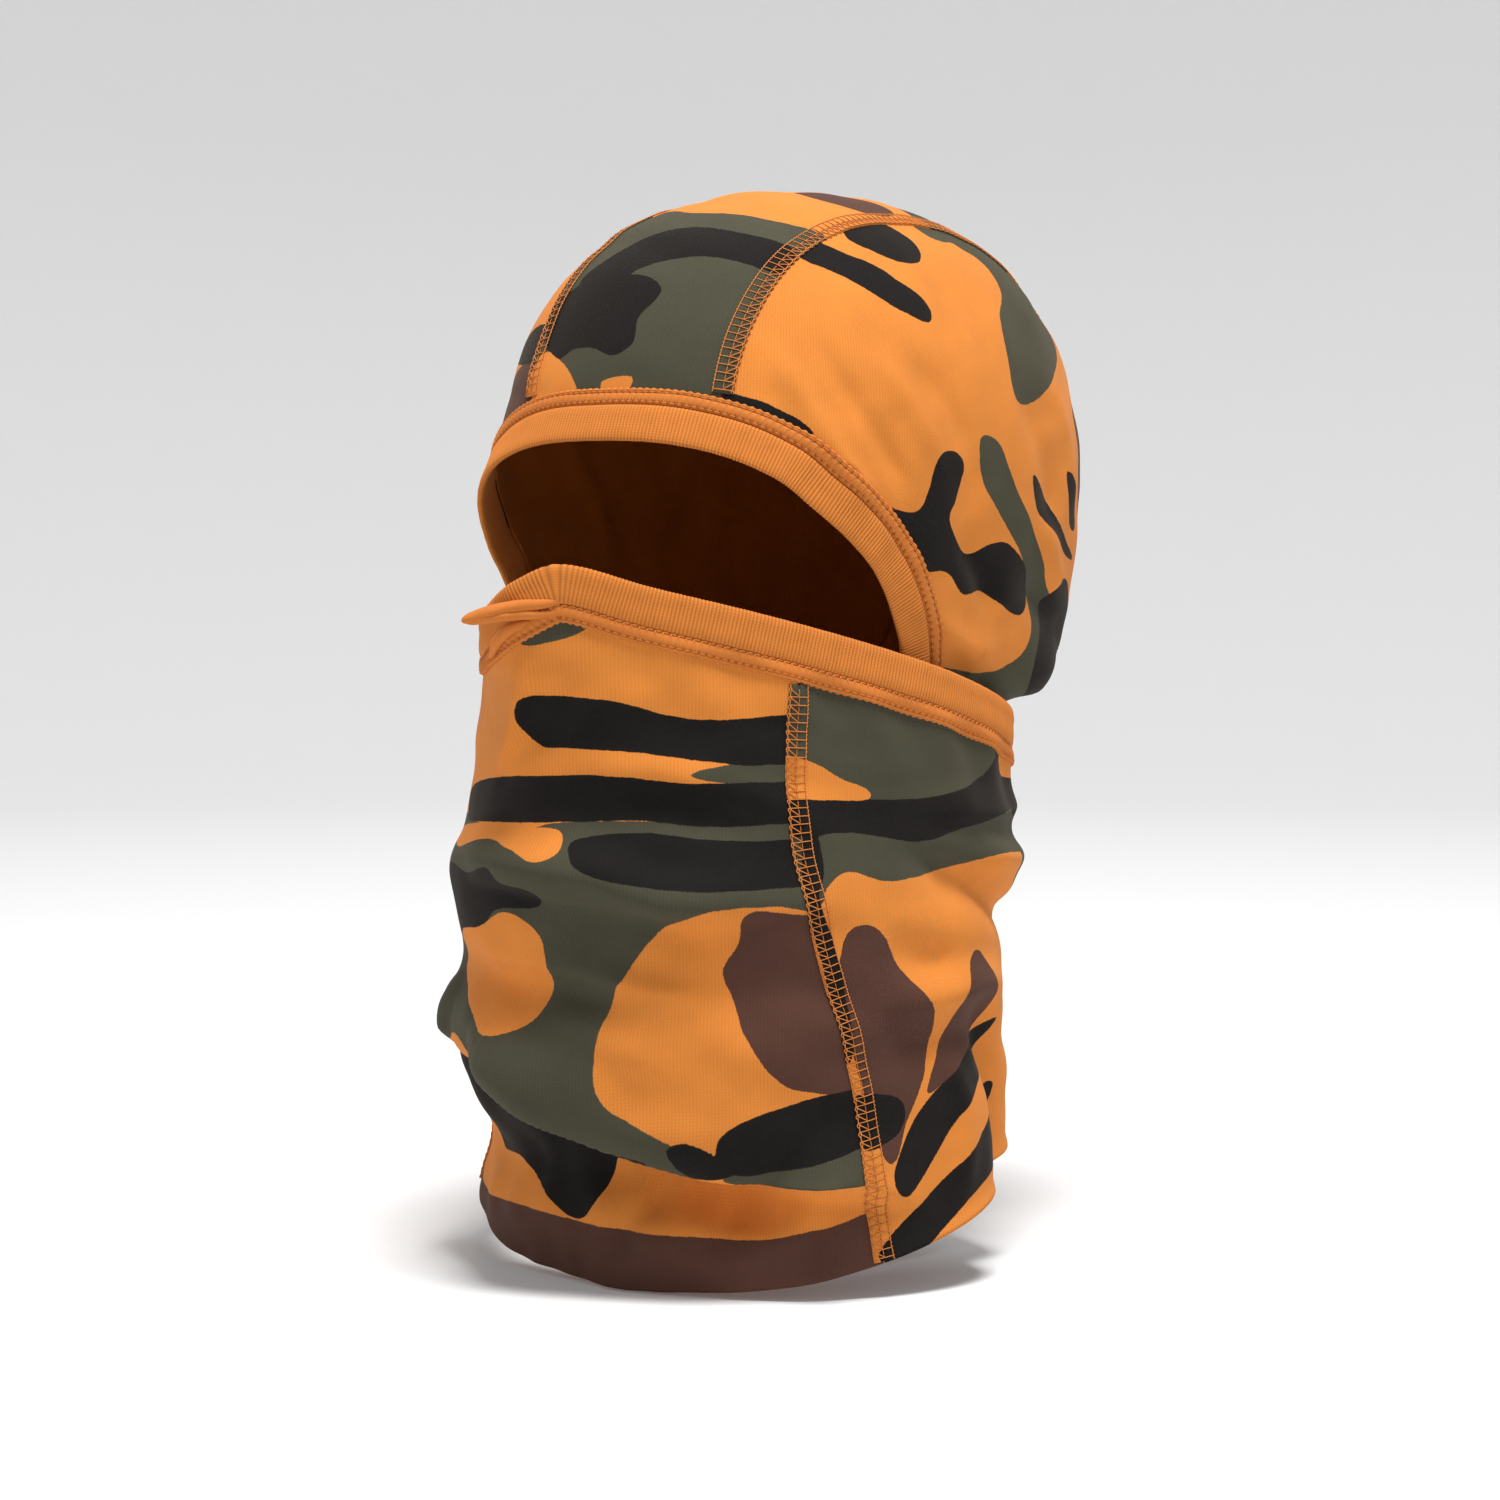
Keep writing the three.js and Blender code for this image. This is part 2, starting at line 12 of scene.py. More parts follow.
import bmesh
import bpy
import numpy as np
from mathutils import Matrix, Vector


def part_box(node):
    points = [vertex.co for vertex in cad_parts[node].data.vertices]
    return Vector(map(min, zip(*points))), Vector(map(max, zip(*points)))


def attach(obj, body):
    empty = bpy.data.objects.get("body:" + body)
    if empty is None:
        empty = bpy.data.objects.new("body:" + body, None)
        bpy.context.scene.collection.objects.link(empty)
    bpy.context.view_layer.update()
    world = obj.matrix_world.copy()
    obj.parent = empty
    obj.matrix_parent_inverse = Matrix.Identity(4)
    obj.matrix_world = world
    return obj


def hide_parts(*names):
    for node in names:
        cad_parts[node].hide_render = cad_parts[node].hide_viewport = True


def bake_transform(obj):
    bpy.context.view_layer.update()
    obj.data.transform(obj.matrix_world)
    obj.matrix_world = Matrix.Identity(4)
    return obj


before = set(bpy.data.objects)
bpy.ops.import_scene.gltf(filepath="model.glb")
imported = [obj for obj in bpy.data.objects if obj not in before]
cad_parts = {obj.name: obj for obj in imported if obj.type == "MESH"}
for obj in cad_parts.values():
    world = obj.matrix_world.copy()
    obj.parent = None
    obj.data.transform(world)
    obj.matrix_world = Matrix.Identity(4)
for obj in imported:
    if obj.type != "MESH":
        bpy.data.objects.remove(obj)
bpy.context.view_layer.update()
MM = 0.001
random = np.random.default_rng(11)

# %% [markdown]
# ## The camera
# A mask is best shown from a little above eye height and from a good distance, so that the cloth isn't
# stretched by the lens. It looks at the middle of the garment from the wearer's left front.

# %% Camera
CAMERA_AZIMUTH = 40.0
CAMERA_ELEVATION = 4.05
CAMERA_DISTANCE = 1.300
LENS = 99.05
target = Vector((0.0, -0.020, -0.0655))


def place_camera():
    a, e = math.radians(CAMERA_AZIMUTH), math.radians(CAMERA_ELEVATION)
    back = Vector((math.sin(a) * math.cos(e), -math.cos(a) * math.cos(e), math.sin(e)))
    data = bpy.data.cameras.new("camera")
    data.lens = LENS
    data.sensor_width = 36.0
    camera = bpy.data.objects.new("camera", data)
    camera.location = target + back * CAMERA_DISTANCE
    camera.rotation_euler = (-back).to_track_quat("-Z", "Y").to_euler()
    bpy.context.scene.collection.objects.link(camera)
    bpy.context.scene.camera = camera
    return camera


print("camera at", tuple(round(v, 3) for v in place_camera().location))

# %% [markdown]
# ## Sizes from the frame
# The cloth has to lie where the CAD panels lie, so the driving sizes are read from their boxes and
# only the proportions of each section are written out here. Work is in millimetres until a mesh is
# made, because cloth and thread sizes read best that way.

# %% Read the driving sizes


def box_mm(node):
    low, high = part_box(node)
    return np.array(low) / MM, np.array(high) / MM


HEAD_HALF = round(float(box_mm("hood_left_side")[1][0]), 1)
CROWN_TOP = round(float(box_mm("crown_panel")[1][2]), 1)
JOIN_Z = round(float(box_mm("crown_panel")[0][2]), 1)
NOSE_REACH = round(-float(box_mm("gaiter_front_panel")[0][1]))
BAND_TOP = round(float(box_mm("mask_top_band")[1][2]), 1)
HEM_Z = round(float(box_mm("gaiter_front_panel")[0][2]), 1)
print("half head", HEAD_HALF, "crown", CROWN_TOP, "join", JOIN_Z, "band", BAND_TOP, "hem", HEM_Z)

# %% [markdown]
# ## The two surfaces that everything lies on
# A head-shaped surface could be sculpted, but then nothing else could be placed on it exactly. Here
# each surface is a stack of rounded sections: half width, front and back reach, and how square the
# front and the back are. With a formula for the surface, any seam, rib or stitch can be laid on it
# at a given height above the cloth.

# %% Curves and forms


def hermite(rows, key):
    """Smooth values between rows of [key, value, value, ...] with rising keys."""
    rows = np.array(rows, float)
    keys, values = rows[:, 0], rows[:, 1:]
    last = len(rows) - 1
    before_row, after_row = np.maximum(np.arange(last + 1) - 1, 0), np.minimum(np.arange(last + 1) + 1, last)
    slopes = (values[after_row] - values[before_row]) / (keys[after_row] - keys[before_row])[:, None]
    k = np.clip(key, keys[0], keys[-1])
    i = np.clip(np.searchsorted(keys, k, side="right") - 1, 0, last - 1)
    span = keys[i + 1] - keys[i]
    t = ((k - keys[i]) / span)[..., None]
    span = span[..., None]
    return ((2 * t**3 - 3 * t**2 + 1) * values[i] + (t**3 - 2 * t**2 + t) * span * slopes[i]
            + (3 * t**2 - 2 * t**3) * values[i + 1] + (t**3 - t**2) * span * slopes[i + 1])


def smooth_line(points, steps=8, closed=False):
    """A Catmull-Rom line through the points."""
    p = np.array(points, float)
    if closed:
        p = np.concatenate([p[-1:], p, p[:2]])
    else:
        p = np.concatenate([2 * p[:1] - p[1:2], p, 2 * p[-1:] - p[-2:-1]])
    t = np.linspace(0, 1, steps, endpoint=False)[None, :, None]
    a, b, c, d = (p[i:len(p) - 3 + i, None, :] for i in range(4))
    line = 0.5 * (2 * b + (c - a) * t + (2 * a - 5 * b + 4 * c - d) * t**2 + (3 * b - a - 3 * c + d) * t**3)
    line = line.reshape(-1, p.shape[1])
    return line if closed else np.concatenate([line, p[-2:-1]])


def evenly(line, count):
    """The line again as `count` points with equal spacing."""
    walked = np.concatenate([[0], np.cumsum(np.linalg.norm(np.diff(line, axis=0), axis=1))])
    at = np.linspace(0, walked[-1], count)
    return np.stack([np.interp(at, walked, line[:, c]) for c in range(line.shape[1])], axis=1)


def length_of(line):
    return float(np.linalg.norm(np.diff(line, axis=0), axis=1).sum())


class Form:
    def __init__(self, rows, middle, spring=None, top=None, power=2.15):
        self.rows, self.middle, self.spring, self.top, self.power = rows, middle, spring, top, power
        self.relief = lambda place: np.zeros(place.shape[:-1])

    def section(self, z):
        half, front, back, full_front, full_back = np.moveaxis(hermite(self.rows, z), -1, 0)
        shrink = np.ones_like(half)
        if self.top is not None:
            t = np.clip((z - self.spring) / (self.top - self.spring), 0, 0.99999)
            shrink = (1 - t**self.power) ** (1 / self.power)
        front, back = (self.middle + front) * shrink, (back - self.middle) * shrink
        return half * shrink, front, back, full_front, full_back

    def level(self, place):
        """Below 0 inside the surface, 0 on it."""
        x, y, z = place[..., 0], place[..., 1], place[..., 2]
        half, front, back, full_front, full_back = self.section(z)
        ahead = y < self.middle
        depth, full = np.where(ahead, front, back), np.where(ahead, full_front, full_back)
        out = ((np.abs(x) / half) ** full + (np.abs(y - self.middle) / depth) ** full) ** (1 / full) - 1
        return out if self.top is None else np.where(z >= self.top, z / self.top - 1 + 1e-6, out)

    def slope(self, place, step=0.05):
        shifts = np.eye(3) * step
        return np.stack([self.level(place + s) - self.level(place - s) for s in shifts], axis=-1) / (2 * step)

    def normal(self, place):
        slope = self.slope(place)
        return slope / np.linalg.norm(slope, axis=-1, keepdims=True)

    def around(self, z, degrees):
        """The place at a height and an angle: 0 is the front, 90 the wearer's left."""
        z, a = np.broadcast_arrays(np.asarray(z, float), np.radians(degrees))
        half, front, back, full_front, full_back = self.section(z)
        ahead = np.cos(a) > 0
        depth, full = np.where(ahead, front, back), np.where(ahead, full_front, full_back)
        r = ((np.abs(np.sin(a)) / half) ** full + (np.abs(np.cos(a)) / depth) ** full) ** (-1 / full)
        return np.stack([r * np.sin(a), self.middle - r * np.cos(a), z], axis=-1)

    def degrees(self, place):
        return np.degrees(np.arctan2(place[..., 0], self.middle - place[..., 1]))

    def snap(self, place):
        """The nearest place on the surface."""
        for _ in range(4):
            slope = self.slope(place)
            place = place - slope * (self.level(place) / (slope**2).sum(-1))[..., None]
        return place

    def lay(self, place, height=0.0, snap=True):
        """Puts points on the folded cloth, raised by a height above it."""
        on = self.snap(place) if snap else place
        raised = self.relief(on) + height
        return on + self.normal(on) * np.asarray(raised)[..., None]


# z, half width, front, back, fullness in front, fullness behind
hood = Form([
    (JOIN_Z, 60, 77, 36, 2, 2),
    (JOIN_Z + 30, 60, 80, 36, 2, 2),
    (-85, 62, 88, 43, 2, 2),
    (-64, HEAD_HALF - 15, 94, 50, 2, 2),
    (-48, HEAD_HALF - 11, 98, 64, 2.05, 2.05),
    (-30, HEAD_HALF - 6.5, 101, 92, 2.1, 2.2),
    (-12, HEAD_HALF - 3, 103, 103, 2.2, 2.2),
    (15, HEAD_HALF, 102, 102, 2.25, 2.25),
    (45, HEAD_HALF, 95, 100, 2.25, 2.25),
], middle=0, spring=27, top=CROWN_TOP - 1.2)
tube = Form([
    (HEM_Z, 88, 94, 42, 2.2, 2.1),
    (HEM_Z + 18.5, 88, 96, 43, 2.2, 2.1),
    (HEM_Z + 35.5, 87, 92, 46, 2.1, 2.1),
    (HEM_Z + 55.5, 87, 111, 47, 2, 2.1),
    (HEM_Z + 73.5, 86, 122, 44, 2, 2.1),
    (HEM_Z + 95.5, 85, 115, 44, 2, 2.1),
    (-102, 83, NOSE_REACH - 4, 58, 1.95, 2.1),
    (-80, 81, NOSE_REACH - 9, 58, 1.82, 2.1),
    (-60, 79.5, NOSE_REACH - 6, 60, 1.7, 2.1),
    (-30, 77, NOSE_REACH, 62, 1.6, 2.1),
    (0, 75, NOSE_REACH, 62, 1.55, 2.1),
], middle=-20)
print("hood at the temple", hood.around(0, 90).round(1), "tube on the nose", tube.around(-10, 0).round(1))

# %% [markdown]
# ## Folds
# Cloth folds could come from a simulation, but a draped tube never falls twice the same way and would not
# follow the real garment. Each large fold is a ridge or a valley along a line drawn on the surface, with its
# own width on either side, so that a fold can overhang softly on one side and break sharply on the other.
# Small seeded waves give the cloth between them some life.

# %% Folds and wrinkles
TUBE_MM_PER_DEGREE = 1.45
HOOD_MM_PER_DEGREE = 1.5


def smooth(t):
    """0 below 0, 1 above 1, smooth between."""
    t = np.clip(t, 0, 1)
    return t * t * (3 - 2 * t)


def near_line(u, v, line):
    """Distance to a line, which side of it (above 0 is left of its direction), and how far along."""
    best, side, along = np.full(u.shape, 1e9), np.ones(u.shape), np.zeros(u.shape)
    count = len(line) - 1
    for i in range(count):
        a, d = line[i], line[i + 1] - line[i]
        t = np.clip(((u - a[0]) * d[0] + (v - a[1]) * d[1]) / (d @ d), 0, 1)
        distance = np.hypot(u - a[0] - t * d[0], v - a[1] - t * d[1])
        closer = distance < best
        best = np.where(closer, distance, best)
        side = np.where(closer, np.sign(d[0] * (v - a[1]) - d[1] * (u - a[0])), side)
        along = np.where(closer, (i + t) / count, along)
    return best, side, along


def fold(u, v, height, left, right, points):
    """A ridge (or a valley, below 0) along a line, `left` and `right` millimetres wide on its sides."""
    distance, side, along = near_line(u, v, smooth_line(points, 5))
    fade = smooth(np.minimum(along, 1 - along) / 0.3)
    return height * fade * np.exp(-(distance / np.where(side > 0, left, right)) ** 2)


def make_waves(count, shortest, longest, height):
    """Small crossing waves with random directions."""
    waves = []
    for _ in range(count):
        size = random.uniform(shortest, longest)
        turn = random.uniform(0, math.pi)
        shift = random.uniform(0, 6.3)
        waves.append((math.cos(turn) * 2 * math.pi / size, math.sin(turn) * 2 * math.pi / size, shift))

    def at(u, v):
        total = sum(np.sin(a * u + b * v + c + 1.3 * np.sin(0.6 * b * u - 0.6 * a * v)) for a, b, c in waves)
        return height * total / math.sqrt(count)

    return at


tube_waves = make_waves(11, 15, 44, 0.55)
hood_waves = make_waves(11, 18, 46, 0.34)

# degrees, z: height, width above, width below, points from the wearer's right to the left
TUBE_FOLDS = [
    (5.0, 14, 4.0, [(-56, -146), (-42, -149), (-33, -151)]),
    (11.5, 15, 3.6, [(-22, -154), (-12, -157), (2, -166), (21, -175), (42, -184), (65, -191), (82, -200)]),
    (-10.5, 4.0, 13, [(-40, -160), (-30, -162), (-14, -166), (2, -175), (21, -184), (42, -192), (62, -198)]),
    (-3.0, 9, 10, [(-20, -136), (0, -146), (18, -158), (36, -164)]),
    (4.2, 8, 4, [(-40, -97), (-20, -93), (-4, -94), (13, -97), (23, -103), (42, -106), (56, -103)]),
    (-3.6, 4, 7, [(-30, -104), (-8, -104), (8, -107), (24, -112), (44, -114)]),
    (3.4, 7, 5, [(-34, -118), (-14, -122), (6, -124), (26, -132), (40, -142)]),
    (-2.0, 5, 6, [(-28, -126), (-8, -131), (10, -134), (24, -142)]),
    (2.4, 4.5, 2.4, [(-14, -76), (-3, -57), (1.5, -40), (2.5, -24)]),
    (-1.2, 4, 4, [(-6, -68), (6, -52), (12, -36)]),
    (1.6, 6, 4, [(6, -64), (22, -66), (40, -72), (56, -84)]),
    (-1.6, 4, 5, [(12, -74), (28, -78), (44, -86)]),
    (2.6, 7, 4, [(76, -80), (92, -80), (108, -82), (124, -82), (146, -78)]),
    (-5.0, 5, 8, [(68, -90), (82, -96), (94, -101), (108, -110), (124, -116), (146, -116)]),
    (3.6, 5, 5, [(96, -92), (108, -96), (122, -98), (140, -97)]),
    (-2.2, 6, 7, [(66, -116), (78, -122), (90, -124)]),
    (2.4, 7, 5, [(58, -132), (76, -136), (94, -134), (116, -138)]),
    (-2.2, 5, 7, [(64, -146), (80, -150), (98, -148)]),
    (-7.5, 9, 9, [(106, -214), (108, -198), (108, -184), (105, -164), (98, -146), (90, -132)]),
    (-6.0, 12, 12, [(112, -218), (113, -208), (114, -198)]),
    (1.8, 5, 5, [(84, -206), (88, -186), (88, -166), (80, -146)]),
    (-2.2, 5, 6, [(36, -206), (40, -190), (50, -176), (60, -164)]),
    (2.2, 6, 5, [(46, -212), (52, -196), (62, -180)]),
    (-2.0, 5, 6, [(8, -214), (12, -202), (20, -190)]),
    (1.5, 3, 2.4, [(-14, -36), (-6, -33), (0, -28)]),
    (1.6, 5, 5, [(150, -150), (170, -120), (190, -90)]),
    (-1.8, 7, 7, [(196, -160), (206, -120), (214, -84)]),
    (2.0, 8, 6, [(230, -160), (252, -150), (276, -160)]),
    (2.0, 8, 6, [(236, -110), (262, -104), (290, -112)]),
]
# degrees round the hood, z
HOOD_FOLDS = [
    (1.9, 3.4, 4.5, [(33, 66), (40, 48), (49, 26), (57, 10)]),
    (-1.5, 3.6, 4, [(42, 68), (50, 48), (59, 28), (66, 14)]),
    (1.4, 4.5, 4.5, [(54, 62), (66, 40), (76, 16)]),
    (-1.2, 5, 5, [(64, 60), (78, 38), (86, 14)]),
    (-2.6, 6, 6, [(80, 6), (88, -8), (98, -24)]),
    (2.2, 6, 4, [(72, -20), (88, -32), (104, -35)]),
    (-1.8, 4, 5, [(78, -32), (92, -42), (104, -46)]),
    (9.0, 13, 7, [(96, -46), (112, -43), (128, -41), (152, -40), (180, -40), (206, -40), (232, -42),
                  (258, -46)]),
    (-3.2, 4, 6, [(104, -8), (118, -18), (132, -27), (150, -29)]),
    (1.8, 5, 5, [(108, 12), (118, -4), (128, -16)]),
    (1.4, 6, 6, [(112, 60), (124, 30), (130, 2)]),
    (-1.2, 6, 6, [(100, 50), (112, 24), (118, 4)]),
    (1.2, 6, 6, [(-40, 60), (-52, 34), (-62, 10)]),
    (-1.2, 6, 6, [(-70, 44), (-84, 16), (-92, -14)]),
]


def whole_turn(degrees):
    """Degrees from -100 to 260, so that the back has no jump."""
    return np.where(degrees < -100, degrees + 360, degrees)


def sum_of_folds(degrees, z, per_degree, folds):
    u = whole_turn(degrees) * per_degree
    total = np.zeros(u.shape)
    for height, left, right, points in folds:
        line = [(d * per_degree, level) for d, level in points]
        total += fold(u, z, height, left, right, line)
    return total


def tube_relief(place):
    degrees, z = tube.degrees(place), place[..., 2]
    below_band = band_top(place) - BAND_HEIGHT - z
    free = smooth((below_band - 2) / 20)
    gathers = 1.1 * np.sin(whole_turn(degrees) * 0.34 + 0.05 * z) * np.exp(-(below_band / 20) ** 2)
    turned = whole_turn(degrees)
    gathers = gathers * np.clip((turned - 8) / 30, 0, 1) * np.clip(below_band / 6, 0, 1)
    to_hem = z - hem_line(place)
    hem = (1.1 * np.sin(turned * 0.071 + 1.0) + 0.8 * np.sin(turned * 0.157)) * np.exp(-(to_hem / 26) ** 2)
    flat_nose = -4.2 * np.exp(-((turned + 20) / 19) ** 2) * np.exp(-((z + 34) / 24) ** 2)
    curl = 0.7 * np.exp(-(to_hem / 2.4) ** 2)
    lines = sum_of_folds(degrees, z, TUBE_MM_PER_DEGREE, TUBE_FOLDS)
    # the waves are made of whole turns, so that the front and the back panel meet at each seam
    small = tube_waves(80 * np.sin(np.radians(degrees)), z) * free
    return gathers + (lines + small) * np.maximum(free, 0.15) + hem + curl + flat_nose


def hood_relief(place):
    degrees, z = hood.degrees(place), place[..., 2]
    calm = 1 - np.clip((z - 62) / 28, 0, 1)
    lines = sum_of_folds(degrees, z, HOOD_MM_PER_DEGREE, HOOD_FOLDS)
    small = hood_waves(place[..., 1] + 0.4 * place[..., 0], z)
    return lines * calm + small


BAND_HEIGHT = 11.5
COVER_WIDTH = 5.0
BAND_FALL = 0.30                       # the band falls and the hem rises by this share from front to back
HEM_RISE = 0.33
HEM_FRONT = 94
HEM_TILT = 0.05
HEM_LOW_X = 12
PINCH_X = 17                           # the peak's place, its rise, its width and the sag beside it
PINCH_RISE = 2.4
PINCH_WIDTH = 12
PINCH_SAG = 11.5
SAG_REACH = 34
GAP = 0.3


def band_top(place):
    """Height of the top edge of the band, with the small peak where the cloth is pinched."""
    x, y = place[..., 0], place[..., 1]
    front = np.clip((-y - 40) / 40, 0, 1)
    peak = PINCH_RISE * np.exp(-((x - PINCH_X) / PINCH_WIDTH) ** 2)
    beyond = np.clip((PINCH_X - 2 - x) / SAG_REACH, 0, 1)
    back_up = 1 - 0.8 * smooth((-x - 26) / 46)
    sag = PINCH_SAG * np.sin(math.pi / 2 * beyond) * back_up
    return BAND_TOP - BAND_FALL * (y + NOSE_REACH) + (peak - sag) * front


def hem_line(place):
    return HEM_Z + HEM_RISE * (place[..., 1] + HEM_FRONT) - HEM_TILT * (place[..., 0] - HEM_LOW_X)


tube.relief = tube_relief
hood.relief = hood_relief
print("folds on the tube", len(TUBE_FOLDS), "on the hood", len(HOOD_FOLDS))

# %% [markdown]
# ## Lines that the pieces are cut to
# The opening is an arch round the eyes whose two feet run down behind the neck tube. The crown strip
# lies between two seams. The tube's side seams swing back as they fall from the band to the hem.

# %% Opening, crown seams and side seams
FACE_TURN = 5.0
OPENING = [(0, 42.5), (15, 41.2), (26, 37), (36, 29.5), (43, 20.5), (50, 11.5), (57, 0.5), (63, -12.5),
           (68, -27.5), (70, -45.5), (68, -69.5), (64, -111), (60, JOIN_Z)]
CROWN_WIDTH = 71.0
crown_centre = math.sin(math.radians(FACE_TURN)) * 103 * 0.7
HUB = (0.0, 12.0)                    # y and z of the point that the crown lines sweep round


def opening_edge(side, count):
    raw = np.array([hood.around(z, FACE_TURN + side * degrees) for degrees, z in OPENING])
    return hood.snap(evenly(smooth_line(raw, 16), count))


def opening_path(count):
    right, left = opening_edge(-1, count)[::-1], opening_edge(1, count)[1:]
    return evenly(np.concatenate([right, left]), 2 * count - 1)


def hood_ray(x, angle):
    """Where rays in the upright plane at x leave the hood. Angle 0 points back, 90 up."""
    x, angle = np.broadcast_arrays(x, angle)
    near, far = np.zeros(x.shape), np.full(x.shape, 260.0)
    for _ in range(34):
        middle = (near + far) / 2
        place = np.stack([x, HUB[0] + middle * np.cos(angle), HUB[1] + middle * np.sin(angle)], axis=-1)
        within = hood.level(place) < 0
        near, far = np.where(within, middle, near), np.where(within, far, middle)
    return np.stack([x, HUB[0] + near * np.cos(angle), HUB[1] + near * np.sin(angle)], axis=-1)


brow = np.concatenate([opening_edge(-1, 200)[::-1], opening_edge(1, 200)[1:]])
brow = brow[(brow[:, 2] > 5)]


def crown_line(x, count):
    """From the opening over the head to the neck join, in the upright plane at x."""
    z = float(np.interp(x, brow[:, 0], brow[:, 2]))
    half, front, back, full, _ = hood.section(np.array(z))
    first_y = -float(front * (1 - (abs(x) / half) ** full) ** (1 / full))
    half, front, back, _, full = hood.section(np.array(JOIN_Z))
    last_y = float(back * (1 - (abs(x) / half) ** full) ** (1 / full))
    start, end = math.atan2(z - HUB[1], first_y - HUB[0]), math.atan2(JOIN_Z - HUB[1], last_y - HUB[0])
    return evenly(hood_ray(x, np.linspace(start, end, 260)), count)


def seam_x(side):
    return crown_centre + side * CROWN_WIDTH / 2


SIDE_SEAM = [(-215, 67.5), (-150, 60.5), (-115, 54), (-80, 49.5), (-40, 50)]   # z, degrees


def seam_degrees(z):
    return hermite(SIDE_SEAM, z)[..., 0]


TUCK_LAP = 3.0                         # the cloth goes this far up behind the band at the tuck


def tube_place(degrees_at, share):
    """The place a share of the way from the hem to the foot of the band."""
    z = np.full(np.shape(share), -120.0)
    for _ in range(30):
        place = tube.around(z, degrees_at(z))
        lap = TUCK_LAP * np.exp(-((place[..., 0] - 2) / 16) ** 2) * (place[..., 1] < 0)
        low, high = hem_line(place), band_top(place) - BAND_HEIGHT - GAP + lap
        z = (z + low + (high - low) * share) / 2
    return tube.around(z, degrees_at(z))


print("crown seams at x", round(seam_x(-1), 1), round(seam_x(1), 1), "brow points", len(brow))

# %% [markdown]
# ## The print
# A camouflage print could be painted into an image, but an image has one resolution and hides how it
# was made. Each coloured shape is a smooth closed outline instead, and every vertex stores how many
# millimetres it lies inside or outside of the shapes of one colour. The shader then cuts a crisp
# edge at zero, at any distance from the camera.

# %% Signed distances
FAR = 6.0


def inside_by(u, v, outline):
    """Millimetres inside a smooth closed outline; below 0 outside, and never beyond FAR."""
    line = smooth_line(outline, 6, closed=True)
    low, high = line.min(0) - FAR, line.max(0) + FAR
    out = np.full(u.shape, -FAR)
    near = (u > low[0]) & (u < high[0]) & (v > low[1]) & (v < high[1])
    if not near.any():
        return out
    pu, pv = u[near][:, None], v[near][:, None]
    a, d = line[None], np.roll(line, -1, axis=0)[None] - line[None]
    t = np.clip(((pu - a[..., 0]) * d[..., 0] + (pv - a[..., 1]) * d[..., 1]) / ((d**2).sum(-1) + 1e-9), 0, 1)
    distance = np.hypot(pu - a[..., 0] - t * d[..., 0], pv - a[..., 1] - t * d[..., 1]).min(1)
    steep = np.where(np.abs(d[..., 1]) < 1e-9, 1e-9, d[..., 1])
    spans = (a[..., 1] > pv) != (a[..., 1] + d[..., 1] > pv)
    crosses = spans & (pu < a[..., 0] + (pv - a[..., 1]) * d[..., 0] / steep)
    within = crosses.sum(1) % 2 == 1
    out[near] = np.clip(np.where(within, distance, -distance), -FAR, FAR)
    return out


PRINT_COLOURS = ("olive", "brown", "black", "orange")


def printed(u, v, shapes, stretch=(1.0, 1.0), copies=((0, 0),)):
    """One distance field for each print colour. Shapes are drawn in their own units, then stretched."""
    fields = {}
    for colour in PRINT_COLOURS:
        field = np.full(u.shape, -FAR)
        for outline in shapes.get(colour, ()):
            for shift in copies:
                moved = [((x + shift[0]) * stretch[0], (y + shift[1]) * stretch[1]) for x, y in outline]
                field = np.maximum(field, inside_by(u, v, moved))
        fields[colour] = field
    return fields


# %% [markdown]
# ## Where the print's shapes lie
# The cloth was cut without matching the pattern, so each panel has shapes of its own. They are
# listed panel by panel, in the two directions that suit it: degrees round the tube and height,
# depth and height for the hood's sides, and width and sweep angle for the crown.

